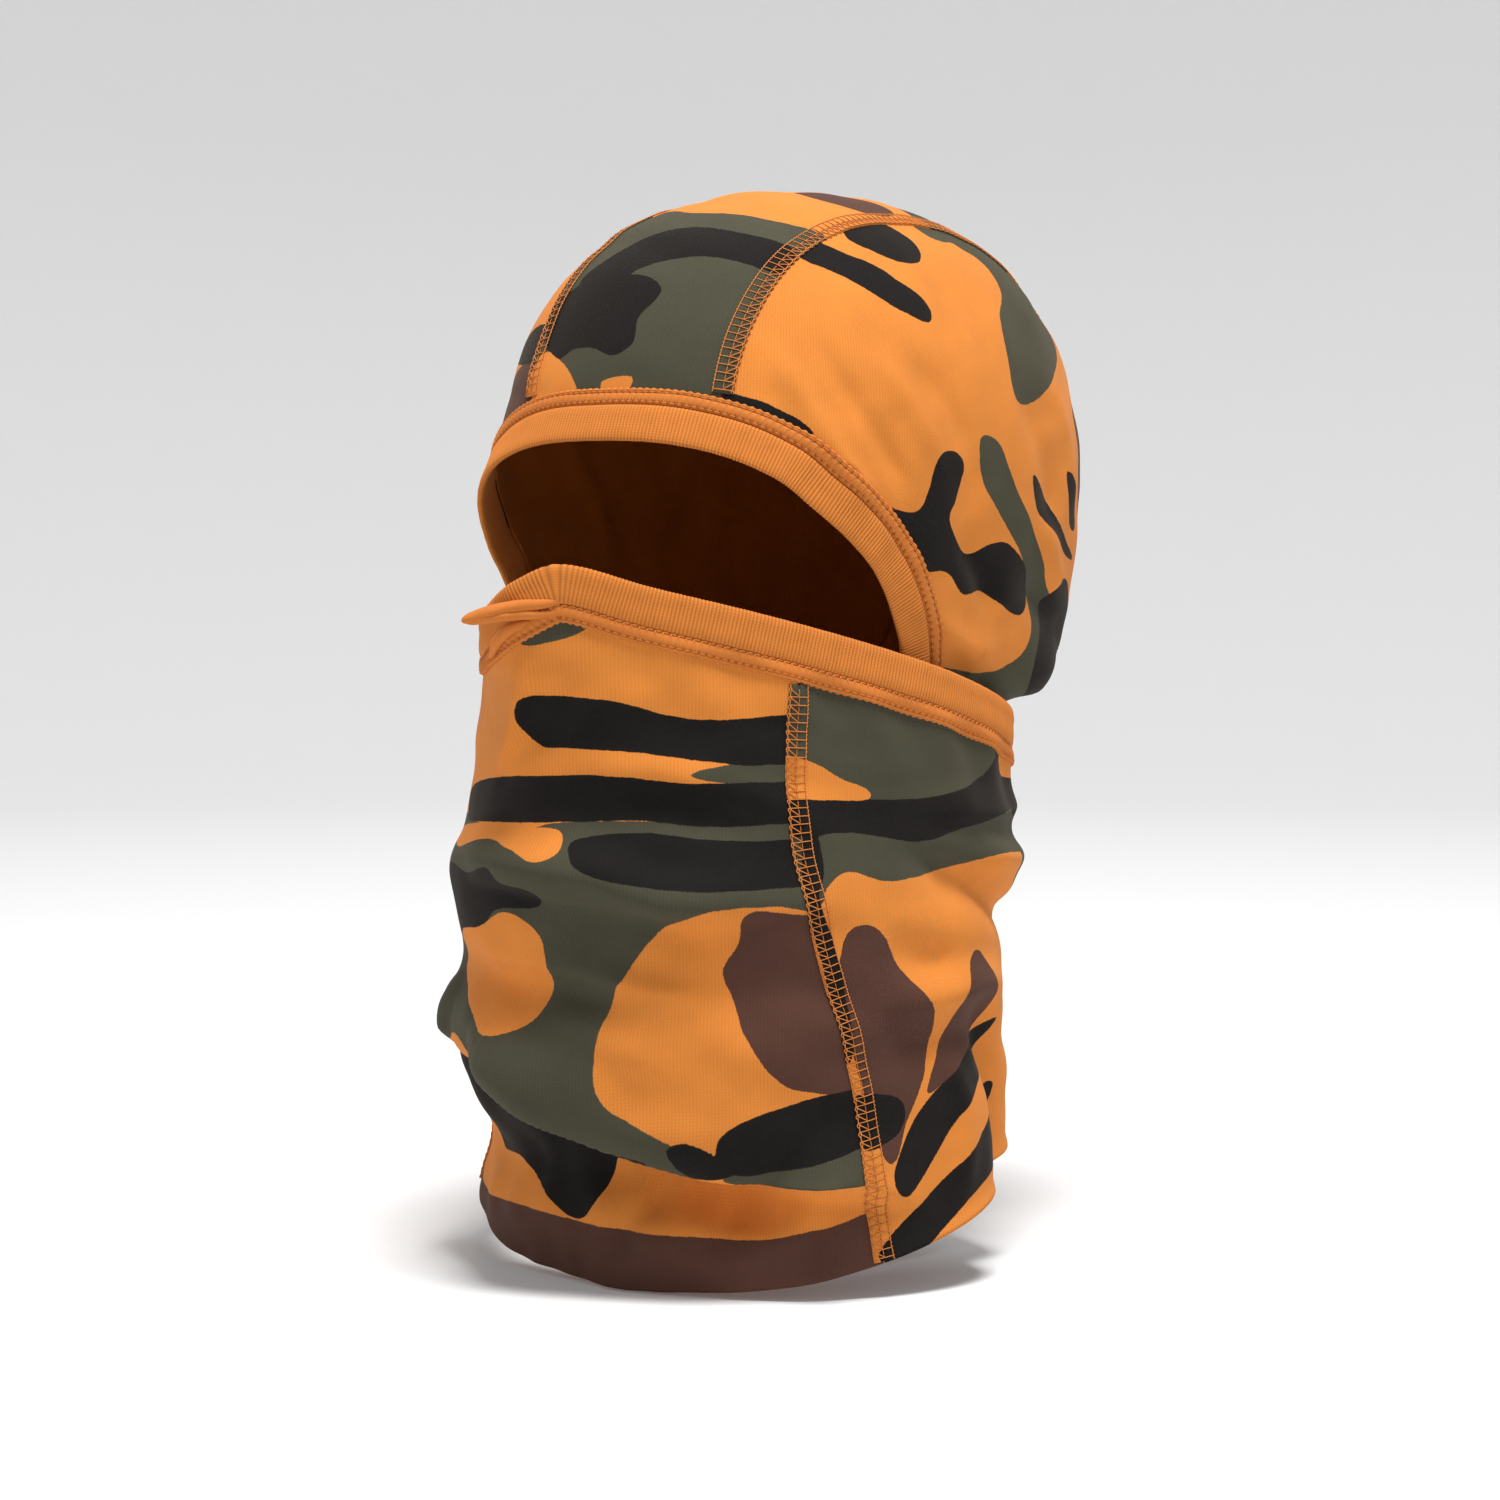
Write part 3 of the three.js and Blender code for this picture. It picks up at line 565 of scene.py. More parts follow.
# %% Shapes of each panel
TUBE_FRONT_PRINT = {
    "olive": [
        [(1, -16), (6, -14.5), (12, -18), (12.5, -23), (8, -27), (1.5, -28)],
        [(29, -67), (34, -64), (43, -63), (52, -64), (52, -70), (40, -70)],
        [(-70, -84), (-45, -83), (-20, -83), (-7, -86), (0, -84), (6, -81), (20, -80), (43, -80),
         (56, -82), (56, -106), (45, -105), (37, -105), (30, -107), (21, -118), (15, -133), (13, -146),
         (13, -159), (19, -166), (28, -172), (31, -179), (20, -179), (9, -174), (-3, -167), (-16, -160),
         (-28, -150), (-44, -158), (-56, -150), (-70, -152)],
        [(36, -179), (50, -179), (66, -175), (68, -182), (63, -189), (50, -188), (40, -184)],
    ],
    "brown": [
        [(39, -107), (46, -107), (56, -112), (60, -135), (62, -160), (50, -160), (44, -155), (39, -143),
         (37, -133), (35, -124), (38, -116)],
        [(-72, -196), (-54, -204), (-24, -204), (-6, -205), (9, -206), (29, -206), (42, -206), (56, -202),
         (74, -197), (74, -228), (40, -232), (-10, -232), (-72, -228)],
        [(-58, -30), (-44, -26), (-34, -34), (-38, -46), (-54, -50)],
    ],
    "black": [
        [(1, -44.5), (8, -43.5), (17, -45), (25, -49), (34, -50.5), (52, -50), (54, -62), (41, -64),
         (31, -62.5), (20, -60), (8, -59), (3, -59), (0, -53)],
        [(-30, -76), (-14, -70), (6, -67), (17, -67), (29, -69), (43, -69), (56, -70), (56, -80),
         (43, -81.5), (31, -81.5), (20, -80), (6, -81), (-9, -82.5), (-28, -84)],
        [(9.5, -86), (20, -83.5), (31, -85), (42, -86), (56, -87), (56, -98), (43, -100), (31, -100.5),
         (21, -99), (14, -97), (10, -93)],
        [(-30, -98), (-17, -98.5), (-7, -96), (-5, -100), (2, -102), (2, -107.5), (-8, -109), (-13, -114),
         (-19, -121), (-28, -126), (-40, -116)],
        [(34, -171), (41, -166), (57, -161), (72, -160), (76, -172), (64, -176), (50, -180), (38, -179)],
        [(25, -171.5), (30, -170.5), (38, -178), (30, -179)],
        [(-40, -160), (-24, -161), (-8, -160), (-2, -166), (10, -171), (21, -174.5), (12, -180),
         (4, -187), (2, -196), (-2, -204), (-9, -203), (-17, -198), (-30, -190), (-44, -188)],
        [(-66, -60), (-50, -58), (-36, -64), (-44, -74), (-62, -76)],
    ],
    "orange": [
        [(-34, -88), (-17, -84), (-5, -84), (5.5, -83), (7.5, -88), (6.5, -92), (3, -93.5), (-2, -90.5),
         (-9, -88), (-22, -92)],
        [(-14, -114), (-6, -109.5), (1, -114), (2, -125), (0, -138), (-5, -145), (-12, -147), (-22, -140),
         (-33, -130), (-26, -118)],
    ],
}
TUBE_SIDE_PRINT = {
    "olive": [
        [(36, -28), (36, -58), (50, -62), (61, -70), (66, -78), (82, -79), (103, -76), (118, -73),
         (128, -62), (130, -40), (100, -26)],
        [(40, -80), (61, -80), (78, -83), (100, -79), (126, -77), (132, -88), (124, -96), (106, -95),
         (90, -97), (70, -99.5), (60, -96), (55, -100), (52, -106), (40, -106)],
    ],
    "brown": [
        [(59, -115), (64, -112), (68, -116), (72, -126), (80, -142), (78, -156), (73, -170), (69, -183),
         (65, -176), (60, -150), (57, -132)],
        [(94, -123), (100, -130), (103, -140), (98, -150), (88, -157), (78, -164), (81, -154), (87, -139)],
    ],
    "black": [
        [(40, -72), (61, -74.5), (82, -75.5), (101, -71), (109, -64), (117, -53), (128, -50), (134, -66),
         (126, -80), (108, -83.5), (91, -86), (78, -88.5), (61, -84.5), (40, -85)],
        [(50.5, -84), (53, -84), (54.5, -95), (53, -104), (57.5, -122), (60, -149), (57.5, -150),
         (54, -124), (50, -105)],
        [(108, -146), (99, -158), (86, -172), (73, -194), (69, -187), (75, -170), (86, -158), (97, -150)],
        [(110, -166), (106, -184), (88, -198), (72, -214), (66, -212), (70, -204), (84, -188), (98, -174)],
        [(60, -163), (66, -162.5), (71, -165), (72, -171), (69, -176), (62, -177)],
    ],
    "orange": [[(36, -65), (53, -67), (64, -71), (66, -75), (54, -74.5), (36, -72)]],
}
HOOD_SIDE_PRINT = {
    "olive": [
        [(3, 105), (12, 104), (22, 102), (21, 94), (8, 94)],
        [(34, 104), (48, 94), (62, 78), (60, 62), (42, 52), (27, 44), (15, 44), (14, 56), (16, 69),
         (27, 78), (28, 88), (18, 94)],
        [(-6, 32), (3, 31), (12, 18), (26, 2), (40, -14), (62, -30), (60, -60), (20, -64), (-30, -56),
         (-36, -38), (-26, -35), (-10, -38), (10, -40), (25, -34), (30, -24), (24, -10), (8, 6), (-4, 18)],
    ],
    "brown": [[(62, 40), (74, 44), (84, 30), (80, 6), (70, 8), (64, 24)]],
    "black": [
        [(-26, 97), (-14, 101), (-4, 93), (-9, 86), (-20, 86), (-30, 92)],
        [(-46, 93), (-35, 88), (-24, 80), (-17, 72), (-20, 67), (-30, 71), (-42, 81), (-50, 86)],
        [(-88, 49), (-81, 45.5), (-74, 41.5), (-67, 35), (-67, 30), (-72, 26), (-84, 36)],
        [(-74, 31.5), (-66, 25), (-57, 18), (-47, 13), (-34, 10), (-29, 17), (-26, 26), (-19, 28.5),
         (-13.5, 24), (-17, 14), (-20, 7), (-9, -3), (2, 0), (10, 0), (22, -7), (28, -16), (24, -22),
         (17, -21.5), (10, -18.5), (1, -14.5), (-10, -15), (-18, -8.5), (-27, -8), (-37, -9), (-45, -5),
         (-54, 1), (-64, 10), (-74, 20)],
        [(22, 21), (31, 16), (45, 4), (64, -6), (52, -4), (40, 2), (26, 10)],
        [(46, 22), (56, 16), (62, 4), (52, 6)],
        [(41, -20), (52, -12), (66, -16), (76, -30), (54, -40), (37, -46), (32, -38)],
        [(70, 66), (82, 58), (90, 40), (96, 30), (100, 50), (86, 76), (72, 84)],
    ],
}
HOOD_RIGHT_PRINT = {
    "olive": HOOD_SIDE_PRINT["olive"],
    "brown": HOOD_SIDE_PRINT["brown"] + [
        [(-92, 56), (-82, 56), (-70, 48), (-60, 36), (-66, 28), (-80, 34), (-92, 44)],
    ],
    "black": HOOD_SIDE_PRINT["black"][3:] + [
        [(-92, 66), (-84, 68), (-72, 66), (-66, 58), (-76, 55), (-92, 57)],
    ],
}
CROWN_PRINT = {
    "olive": [
        [(-36, 10), (0, 8), (48, 10), (48, 60), (40, 65), (33, 64.5), (16, 63), (4, 62.5), (-5, 63.5),
         (-16, 66.5), (-26, 68), (-36, 66)],
        [(-36, 104), (-10, 98), (14, 104), (48, 100), (48, 124), (20, 132), (-6, 122), (-36, 128)],
        [(-36, 168), (-12, 160), (8, 168), (20, 184), (48, 190), (48, 212), (10, 206), (-14, 194),
         (-36, 196)],
    ],
    "brown": [
        [(10, 84), (26, 80), (40, 86), (36, 94), (18, 94)],
        [(-36, 138), (-18, 134), (0, 142), (-6, 152), (-24, 154), (-36, 150)],
    ],
    "black": [
        [(-24, 44), (-18, 48), (-10, 53), (6, 56.5), (24, 56.8), (38, 57.5), (45, 55), (44, 49.5),
         (32, 49), (16, 48), (2, 44.8), (-8, 39.5), (-18, 39)],
        [(-32, 37), (-26, 41.5), (-18, 42.5), (-6, 43), (6, 42.5), (13.5, 40), (13, 37), (10, 33.5),
         (11.5, 29), (5, 26.5), (-4, 28), (-12, 28), (-17, 26.5), (-22, 26), (-27, 30)],
        [(20, 112), (34, 108), (44, 116), (38, 128), (22, 124)],
        [(-20, 84), (-8, 80), (2, 88), (-4, 96), (-18, 94)],
        [(14, 146), (30, 142), (48, 150), (40, 162), (20, 158)],
    ],
    "orange": [
        [(-28, 28), (-20, 27), (-12, 24), (-7, 20), (-10, 16), (-24, 14), (-34, 18)],
        [(2, 21.6), (7, 22.8), (13.5, 22.8), (13, 20.8), (5, 20.2)],
    ],
}
TUBE_STRETCH = (TUBE_MM_PER_DEGREE, 1.0)
# the print repeats every 80 degrees, also past the jump from 260 back to -100
TUBE_REPEAT = tuple((turn, 0) for turn in (-200, -120, 0, 80, 160, 240))
CROWN_MM_PER_DEGREE = 1.6


def tube_print(place, shapes, copies):
    u = whole_turn(tube.degrees(place)) * TUBE_MM_PER_DEGREE
    return printed(u, place[..., 2], shapes, TUBE_STRETCH, copies)


def front_print(place):
    return tube_print(place, TUBE_FRONT_PRINT, ((0, 0),))


def back_print(place):
    return tube_print(place, TUBE_SIDE_PRINT, TUBE_REPEAT)


def left_print(place):
    return printed(place[..., 1], place[..., 2], HOOD_SIDE_PRINT)


def right_print(place):
    return printed(place[..., 1], place[..., 2], HOOD_RIGHT_PRINT)


def crown_sweep(place):
    """Millimetres from the brow over the head to the nape."""
    sweep = np.degrees(np.arctan2(place[..., 2] - HUB[1], -place[..., 1]))
    return np.where(sweep < -90, sweep + 360, sweep) * CROWN_MM_PER_DEGREE


def crown_print(place):
    return printed(place[..., 0], crown_sweep(place), CROWN_PRINT, (1.0, CROWN_MM_PER_DEGREE))


all_prints = (TUBE_FRONT_PRINT, TUBE_SIDE_PRINT, HOOD_SIDE_PRINT, CROWN_PRINT)
print("shapes", sum(len(outlines) for shapes in all_prints for outlines in shapes.values()))

# %% [markdown]
# ## Cloth panels
# A jersey panel is thin but not flat like paper: it has two faces and a cut edge. Each panel is a
# dense grid laid on the folded surface, a second grid just inside it, and a rim between them.
# Vertices carry the print, the directions of the knit and a mark for the unprinted inner face.

# %% Meshes from grids
JERSEY = 0.9


def new_piece(name, points, quads, fields):
    mesh = bpy.data.meshes.new(name)
    mesh.from_pydata((points * MM).tolist(), [], quads.tolist())
    for field, values in fields.items():
        attribute = mesh.attributes.new(field, "FLOAT", "POINT")
        attribute.data.foreach_set("value", np.asarray(values, np.float32).ravel())
    mesh.shade_smooth()
    mesh.update()
    piece = bpy.data.objects.new(name, mesh)
    bpy.context.scene.collection.objects.link(piece)
    return piece


def grid_quads(rows, columns, join_rows=False, join_columns=False):
    r = np.arange(rows if join_rows else rows - 1)
    c = np.arange(columns if join_columns else columns - 1)
    r, c = np.meshgrid(r, c, indexing="ij")
    r2, c2 = (r + 1) % rows, (c + 1) % columns
    quads = np.stack([r * columns + c, r * columns + c2, r2 * columns + c2, r2 * columns + c], axis=-1)
    return quads.reshape(-1, 4)


def facing_out(points, quads):
    a, b, c, d = (points[quads[:, i]] for i in range(4))
    volume = (np.cross(b - a, c - a) * a).sum() + (np.cross(c - a, d - a) * a).sum()
    return quads if volume > 0 else quads[:, ::-1]


def slab_quads(rows, columns, join_rows=False, join_columns=False):
    """Faces of a thin body: a grid, the same grid one layer further on, and the rims between them."""
    layer = rows * columns
    top = grid_quads(rows, columns, join_rows=join_rows, join_columns=join_columns)
    parts = [top, top[:, ::-1] + layer]
    r = np.arange(rows if join_rows else rows - 1)
    c = np.arange(columns if join_columns else columns - 1)
    rims = []
    if not join_rows:
        rims += [(row * columns + c, row * columns + (c + 1) % columns, turn)
                 for row, turn in ((0, 1), (rows - 1, -1))]
    if not join_columns:
        rims += [(r * columns + column, (r + 1) % rows * columns + column, turn)
                 for column, turn in ((0, -1), (columns - 1, 1))]
    for a, b, turn in rims:
        parts.append(np.stack([b, a, a + layer, b + layer], axis=1)[:, ::turn])
    return np.concatenate(parts)


def end_caps(rings, sides):
    """Faces that close both ends of a body made of closed rings."""
    low = np.arange(1, sides // 2 - 1)
    caps = []
    for start, turn in ((0, 1), ((rings - 1) * sides, -1)):
        cap = np.stack([start + low, start + low + 1, start + sides - low - 1, start + sides - low], axis=1)
        caps.append(cap[:, ::turn])
    return np.concatenate(caps)


def cloth_shell(name, outer, normal, fields, closed=False, thickness=JERSEY):
    """A closed body from a grid of places on the cloth and the same grid, `thickness` further in."""
    rows, columns = outer.shape[:2]
    points = np.concatenate([outer.reshape(-1, 3), (outer - normal * thickness).reshape(-1, 3)])
    quads = facing_out(points, slab_quads(rows, columns, join_columns=closed))
    both = {field: np.concatenate([np.ravel(v), np.ravel(v)]) for field, v in fields.items()}
    both["inside"] = np.repeat([0.0, 1.0], rows * columns)
    return new_piece(name, points, quads, both)


def weave(u, v):
    return {"wale": u, "course": v}


def tube_weave(place):
    return weave(whole_turn(tube.degrees(place)) * TUBE_MM_PER_DEGREE, place[..., 2])


def tube_cloth(name, from_degrees, to_degrees, columns, rows, shapes):
    share = np.linspace(0, 1, rows + 1)[:, None]
    across = np.linspace(0, 1, columns + 1)[None, :]
    place = tube_place(lambda z: from_degrees(z) + (to_degrees(z) - from_degrees(z)) * across, share)
    fields = shapes(place)
    fields.update(tube_weave(place))
    return cloth_shell(name, tube.lay(place, snap=False), tube.normal(place), fields)


EDGE = math.degrees(GAP / 88)            # the gap beside a seam, on a radius of 88
gaiter_front = tube_cloth("gaiter_front_cloth", lambda z: EDGE - seam_degrees(z),
                          lambda z: seam_degrees(z) - EDGE, 180, 170, front_print)
gaiter_back = tube_cloth("gaiter_back_cloth", lambda z: seam_degrees(z) + EDGE,
                         lambda z: 360 - seam_degrees(z) - EDGE, 280, 130, back_print)
print("tube panels", len(gaiter_front.data.vertices), len(gaiter_back.data.vertices))

# %% [markdown]
# ## The hood's panels
# The crown strip is a grid of parallel lines over the head. A side panel is bounded by the opening,
# the crown seam and the neck join, so a square grid would not fit it. It is a fan of rings that grow
# from a point behind the ear out to the panel's outline.

# %% Crown and sides


def hood_weave(place):
    flat, rise = np.hypot(place[..., 0], place[..., 1]), place[..., 2] - HUB[1]
    over = np.degrees(np.arctan2(rise, flat)) * CROWN_MM_PER_DEGREE
    rise = np.where(rise > 0, over, rise)
    return weave(whole_turn(hood.degrees(place)) * HOOD_MM_PER_DEGREE, rise)


def crown_cloth():
    half = CROWN_WIDTH / 2 - GAP / 2
    lines = [crown_line(x, 340) for x in crown_centre + np.linspace(-half, half, 61)]
    place = hood.snap(np.stack(lines, axis=1))
    fields = crown_print(place)
    walked = np.linspace(0, length_of(lines[30]), 340)[:, None] * np.ones((1, 61))
    fields.update(weave(place[..., 0], walked))
    return cloth_shell("crown_cloth", hood.lay(place, snap=False), hood.normal(place), fields)


def merge_doubles(piece):
    shape = bmesh.new()
    shape.from_mesh(piece.data)
    bmesh.ops.remove_doubles(shape, verts=shape.verts, dist=1e-7)
    shape.to_mesh(piece.data)
    shape.free()


EAR = (9.0, -14.0)                     # y and z of the point that the side panels fan out from


def in_turn(edge):
    """The outline without the few points at its corners that step back round the ear."""
    angle = np.unwrap(np.arctan2(edge[:, 2] - EAR[1], edge[:, 1] - EAR[0]))
    angle = (angle - angle[0]) * np.sign(angle[-1] - angle[0])
    reached = np.concatenate([[-1.0], np.maximum.accumulate(angle)[:-1]])
    return edge[(angle > reached + 1e-4) & (angle < 2 * math.pi - 1e-3)]


def side_outline(side):
    inset = GAP / 2
    opening = opening_edge(side, 190)
    opening = opening[side * (opening[:, 0] - seam_x(side)) > inset]
    crown = crown_line(seam_x(side) + side * inset, 190)
    ends = [math.degrees(math.atan2(p[0], -p[1])) for p in (crown[-1], opening[-1])]
    ends[0] += 360 if side * ends[0] < 0 else 0
    join = hood.around(JOIN_Z, np.linspace(ends[0], ends[1], 40)[1:-1])
    return in_turn(np.concatenate([crown, join, opening[::-1]]))


def hood_side_cloth(name, side, shapes):
    edge = side_outline(side)
    share = np.linspace(0, 1, 92)[:, None] ** 0.85
    y = EAR[0] + (edge[None, :, 1] - EAR[0]) * share
    z = EAR[1] + (edge[None, :, 2] - EAR[1]) * share
    half, front, back, full_front, full_back = hood.section(z)
    depth, full = np.where(y < 0, front, back), np.where(y < 0, full_front, full_back)
    x = half * np.clip(1 - (np.abs(y) / depth) ** full, 1e-6, 1) ** (1 / full)
    place = np.stack([side * x, y, z], axis=-1)
    place[-1] = edge
    fields = shapes(place)
    fields.update(hood_weave(place))
    piece = cloth_shell(name, hood.lay(place, snap=False), hood.normal(place), fields, closed=True)
    merge_doubles(piece)             # the innermost ring is one point
    return piece


crown = crown_cloth()
hood_left = hood_side_cloth("hood_left_cloth", 1, left_print)
hood_right = hood_side_cloth("hood_right_cloth", -1, right_print)
print("hood panels", len(crown.data.vertices), len(hood_left.data.vertices), len(hood_right.data.vertices))

# %% [markdown]
# ## Trims and threads
# Rib trims and stitched seams follow a line on the cloth. A small ruler for such a line gives the
# place of anything described as so far along, so far to the side and so high above the cloth. Ribs,
# stitches and loops are then written as they are sewn, in those three numbers.

# %% A ruler for lines on the cloth
RULER_STEP = 0.8


class Ruler:
    def __init__(self, form, line, closed=False):
        self.form, self.closed = form, closed
        if closed:
            line = np.concatenate([line, line[:1]])
        self.length = length_of(line)
        count = int(self.length / RULER_STEP)
        self.line = form.snap(evenly(line, count))
        if closed:
            ahead, behind = np.roll(self.line[:-1], -1, axis=0), np.roll(self.line[:-1], 1, axis=0)
            along = ahead - behind
            along = np.concatenate([along, along[:1]])
        else:
            along = np.gradient(self.line, axis=0)
        along /= np.linalg.norm(along, axis=1, keepdims=True)
        side = np.cross(form.normal(self.line), along)
        self.side = side / np.linalg.norm(side, axis=1, keepdims=True)
        self.walked = np.linspace(0, self.length, count)

    def _read(self, table, along):
        at = np.mod(along, self.length) if self.closed else np.clip(along, 0, self.length)
        return np.stack([np.interp(at, self.walked, table[:, c]) for c in range(3)], axis=-1)

    def place(self, along, across, height):
        """Points `across` millimetres to the left of the line and `height` above the cloth."""
        along, across, height = np.broadcast_arrays(along, across, height)
        base = self._read(self.line, along) + self._read(self.side, along) * across[..., None]
        return self.form.lay(base, height)


def tube_mesh(centre, normal, radius, sides=6):
    """Quads and points of round threads. `centre` holds one line of points for each thread."""
    lines, count = centre.shape[:2]
    along = np.gradient(centre, axis=1)
    along /= np.linalg.norm(along, axis=-1, keepdims=True) + 1e-9
    side = np.cross(along, normal)
    side /= np.linalg.norm(side, axis=-1, keepdims=True) + 1e-9
    up = np.cross(side, along)
    turn = np.arange(sides) * 2 * math.pi / sides
    radius = np.broadcast_to(radius, centre.shape[:2])[..., None, None]
    cos, sin = np.cos(turn)[:, None], np.sin(turn)[:, None]
    ring = cos * side[:, :, None] + sin * up[:, :, None]
    points = (centre[:, :, None] + radius * ring).reshape(-1, 3)
    tube_quads = grid_quads(count, sides, join_columns=True)
    caps = []
    for start, turned in ((0, 1), ((count - 1) * sides, -1)):
        for i in range(0, sides - 2, 2):
            caps.append([start, start + (i + 3) % sides, start + i + 2, start + i + 1][::turned])
    tube_quads = np.concatenate([tube_quads, np.array(caps)])
    shifts = np.arange(lines)[:, None, None] * count * sides
    return points, (tube_quads[None] + shifts).reshape(-1, 4)


def join_meshes(parts):
    points, quads, shift = [], [], 0
    for part_points, part_quads in parts:
        points.append(part_points)
        quads.append(part_quads + shift)
        shift += len(part_points)
    return np.concatenate(points), np.concatenate(quads)


def laid_threads(ruler, along, across, height, radius, sides=6):
    centre = ruler.place(along, across, height)
    return tube_mesh(centre, ruler.form.normal(centre), radius, sides)


# %% [markdown]
# ## Rib trims
# A rib trim is a doubled knit strip with plump ribs that run across it and wrap over its folded
# edge. A bump map would leave the outline smooth, and on the real trim the edge is beaded, so
# the ribs are real: six points along each rib and a rounded section that they ride on.

# %% Binding and band
RIB_PITCH = 1.15
RIB_STEPS = 6
RIB_THICKNESS = 2.4
SECTION_POINTS = 26                    # round the trim's section, which is a squared oval
SQUARED = 0.62
RIB_DEPTH = 0.27


def rib_strip(name, ruler, near, far, lift, stripe):
    """A ribbed strip from `near` to `far` beside the line; `lift` raises it, as (along, share)."""
    ribs = int(round(ruler.length / RIB_PITCH))
    steps = ribs * RIB_STEPS + (0 if ruler.closed else 1)
    along = np.arange(steps) * ruler.length / (ribs * RIB_STEPS)
    turn = np.linspace(0, 2 * math.pi, SECTION_POINTS, endpoint=False)
    cos, sin = np.cos(turn), np.sin(turn)
    share = 0.5 + 0.5 * np.sign(cos) * np.abs(cos) ** SQUARED          # 0 at `near`, 1 at `far`
    body = np.sign(sin) * np.abs(sin) ** SQUARED * RIB_THICKNESS / 2
    wave = np.abs(np.sin(math.pi * np.arange(steps) / RIB_STEPS)) ** 0.8
    wander = 1 + 0.14 * np.sin(along * 0.9 + 1.7 * np.sin(along * 0.23))
    relief = (wave * wander)[:, None] * RIB_DEPTH
    outer = np.clip(sin, 0, 1)[None, :] ** 0.4
    end = np.clip((share[None, :] - 0.86) / 0.14, 0, 1)
    dip = stripe * np.exp(-((share[None, :] - 0.55) / 0.13) ** 2) * outer
    soft = 0.12 * np.sin(along * 0.11)[:, None] * outer
    height = 0.35 + body[None, :] + relief * outer - dip + soft + lift(along[:, None], share[None, :])
    across = near + (far - near) * share[None, :] + np.sign(far - near) * relief * end * 0.7
    points = ruler.place(along[:, None], across, height)
    quads = grid_quads(steps, len(turn), join_rows=ruler.closed, join_columns=True)
    if not ruler.closed:
        quads = np.concatenate([quads, end_caps(steps, len(turn))])
    # 1 in the hollow between two ribs, where the rib shader paints shade
    groove_shade = np.broadcast_to((1 - wave)[:, None], height.shape)
    fields = {"groove_shade": groove_shade, "wale": np.broadcast_to(share[None, :] * abs(far - near), height.shape),
              "course": np.broadcast_to(along[:, None], height.shape)}
    flat_points = points.reshape(-1, 3)
    return new_piece(name, flat_points, facing_out(flat_points, quads), fields)


BINDING_WIDTH = 12.0
arch = Ruler(hood, opening_path(200))


def binding_lift(along, share):
    """The binding's free edge stands off the face, most of all beside the wearer's right eye."""
    from_middle = along / arch.length - 0.5
    right = np.exp(-((from_middle + 0.16) / 0.09) ** 2)
    return share**1.5 * (0.5 + 3.0 * right + 0.7 * np.exp(-((from_middle - 0.16) / 0.12) ** 2))


binding = rib_strip("face_binding_rib", arch, -2 * GAP, -BINDING_WIDTH, binding_lift, 0.18)


def ring_line(drop):
    """A closed line round the tube, `drop` millimetres below the band's top edge."""
    degrees = np.arange(0, 360, 1.0)
    z = np.full(degrees.shape, -40.0)
    for _ in range(30):
        z = band_top(tube.around(z, degrees)) - drop
    return tube.around(z, degrees)


band_line = Ruler(tube, ring_line(BAND_HEIGHT), closed=True)


def band_lift(along, share):
    turned = along / band_line.length * 2 * math.pi
    return share * (0.35 + 0.25 * np.sin(3 * turned + 0.6))


band = rib_strip("band_rib", band_line, 0.0, BAND_HEIGHT, band_lift, 0.34)
print("rib trims", len(binding.data.vertices), len(band.data.vertices), "arch", round(arch.length),
      "band", round(band_line.length))

# %% [markdown]
# ## Cover stitch
# Beside each rib trim a cover stitch machine sews two rows of needle stitches, joined on the face by
# a looper thread that zigzags between them and pulls the cloth into small pits. Here the cloth under
# the stitch is a raised strip with a pit at each needle hole, and the threads are round tubes on it.

# %% Cover stitch strips
COVER_PITCH = 2.35
COVER_RISE = 1.25                      # the stitched strip stands this far above the cloth
INNER_ROW = 0.75                       # needle rows, from the rib's edge and from the strip's outer edge
OUTER_ROW = 1.35
STEPS_PER_STITCH = 7


def bump_at(w, middle, width):
    """A soft bump, 1 at `middle` and gone a few widths away, as a row for a grid."""
    return np.exp(-((w - middle) / width) ** 2)[None, :]


def cover_stitch(name, ruler, near, far):
    direction = np.sign(far - near)
    width = abs(far - near)
    stitches = int(round(ruler.length / COVER_PITCH))
    steps = stitches * STEPS_PER_STITCH + (0 if ruler.closed else 1)
    along = (np.arange(steps) * ruler.length / (stitches * STEPS_PER_STITCH))[:, None]
    beat = np.cos(2 * math.pi * np.arange(steps) / STEPS_PER_STITCH)[:, None]
    pit = 0.7 + 0.5 * beat
    w = np.linspace(0, width, 17)
    edge = (np.clip(w / 0.5, 0, 1) * np.clip((width - w) / 0.6, 0, 1))[None, :]
    height = (COVER_RISE * edge**0.5 - 0.62 * pit * bump_at(w, INNER_ROW, 0.5)
              - 0.58 * pit * bump_at(w, width - OUTER_ROW, 0.5)
              + 0.2 * bump_at(w, width / 2 - 0.2, 1.0) - 0.16 * beat * bump_at(w, width, 0.7))
    wobble = -0.16 * beat * (w / width)[None, :] ** 4
    across = near + direction * (w[None, :] + wobble)
    outer = ruler.place(along, across, height).reshape(-1, 3)
    under = ruler.place(along, across, np.minimum(height - 0.15, 0.02)).reshape(-1, 3)
    points = np.concatenate([outer, under])
    strip = (points, facing_out(points, slab_quads(steps, len(w), join_rows=ruler.closed)))
    threads = cover_threads(ruler, near, direction, width, stitches)
    return new_piece(name, *join_meshes([strip, *threads]), {})


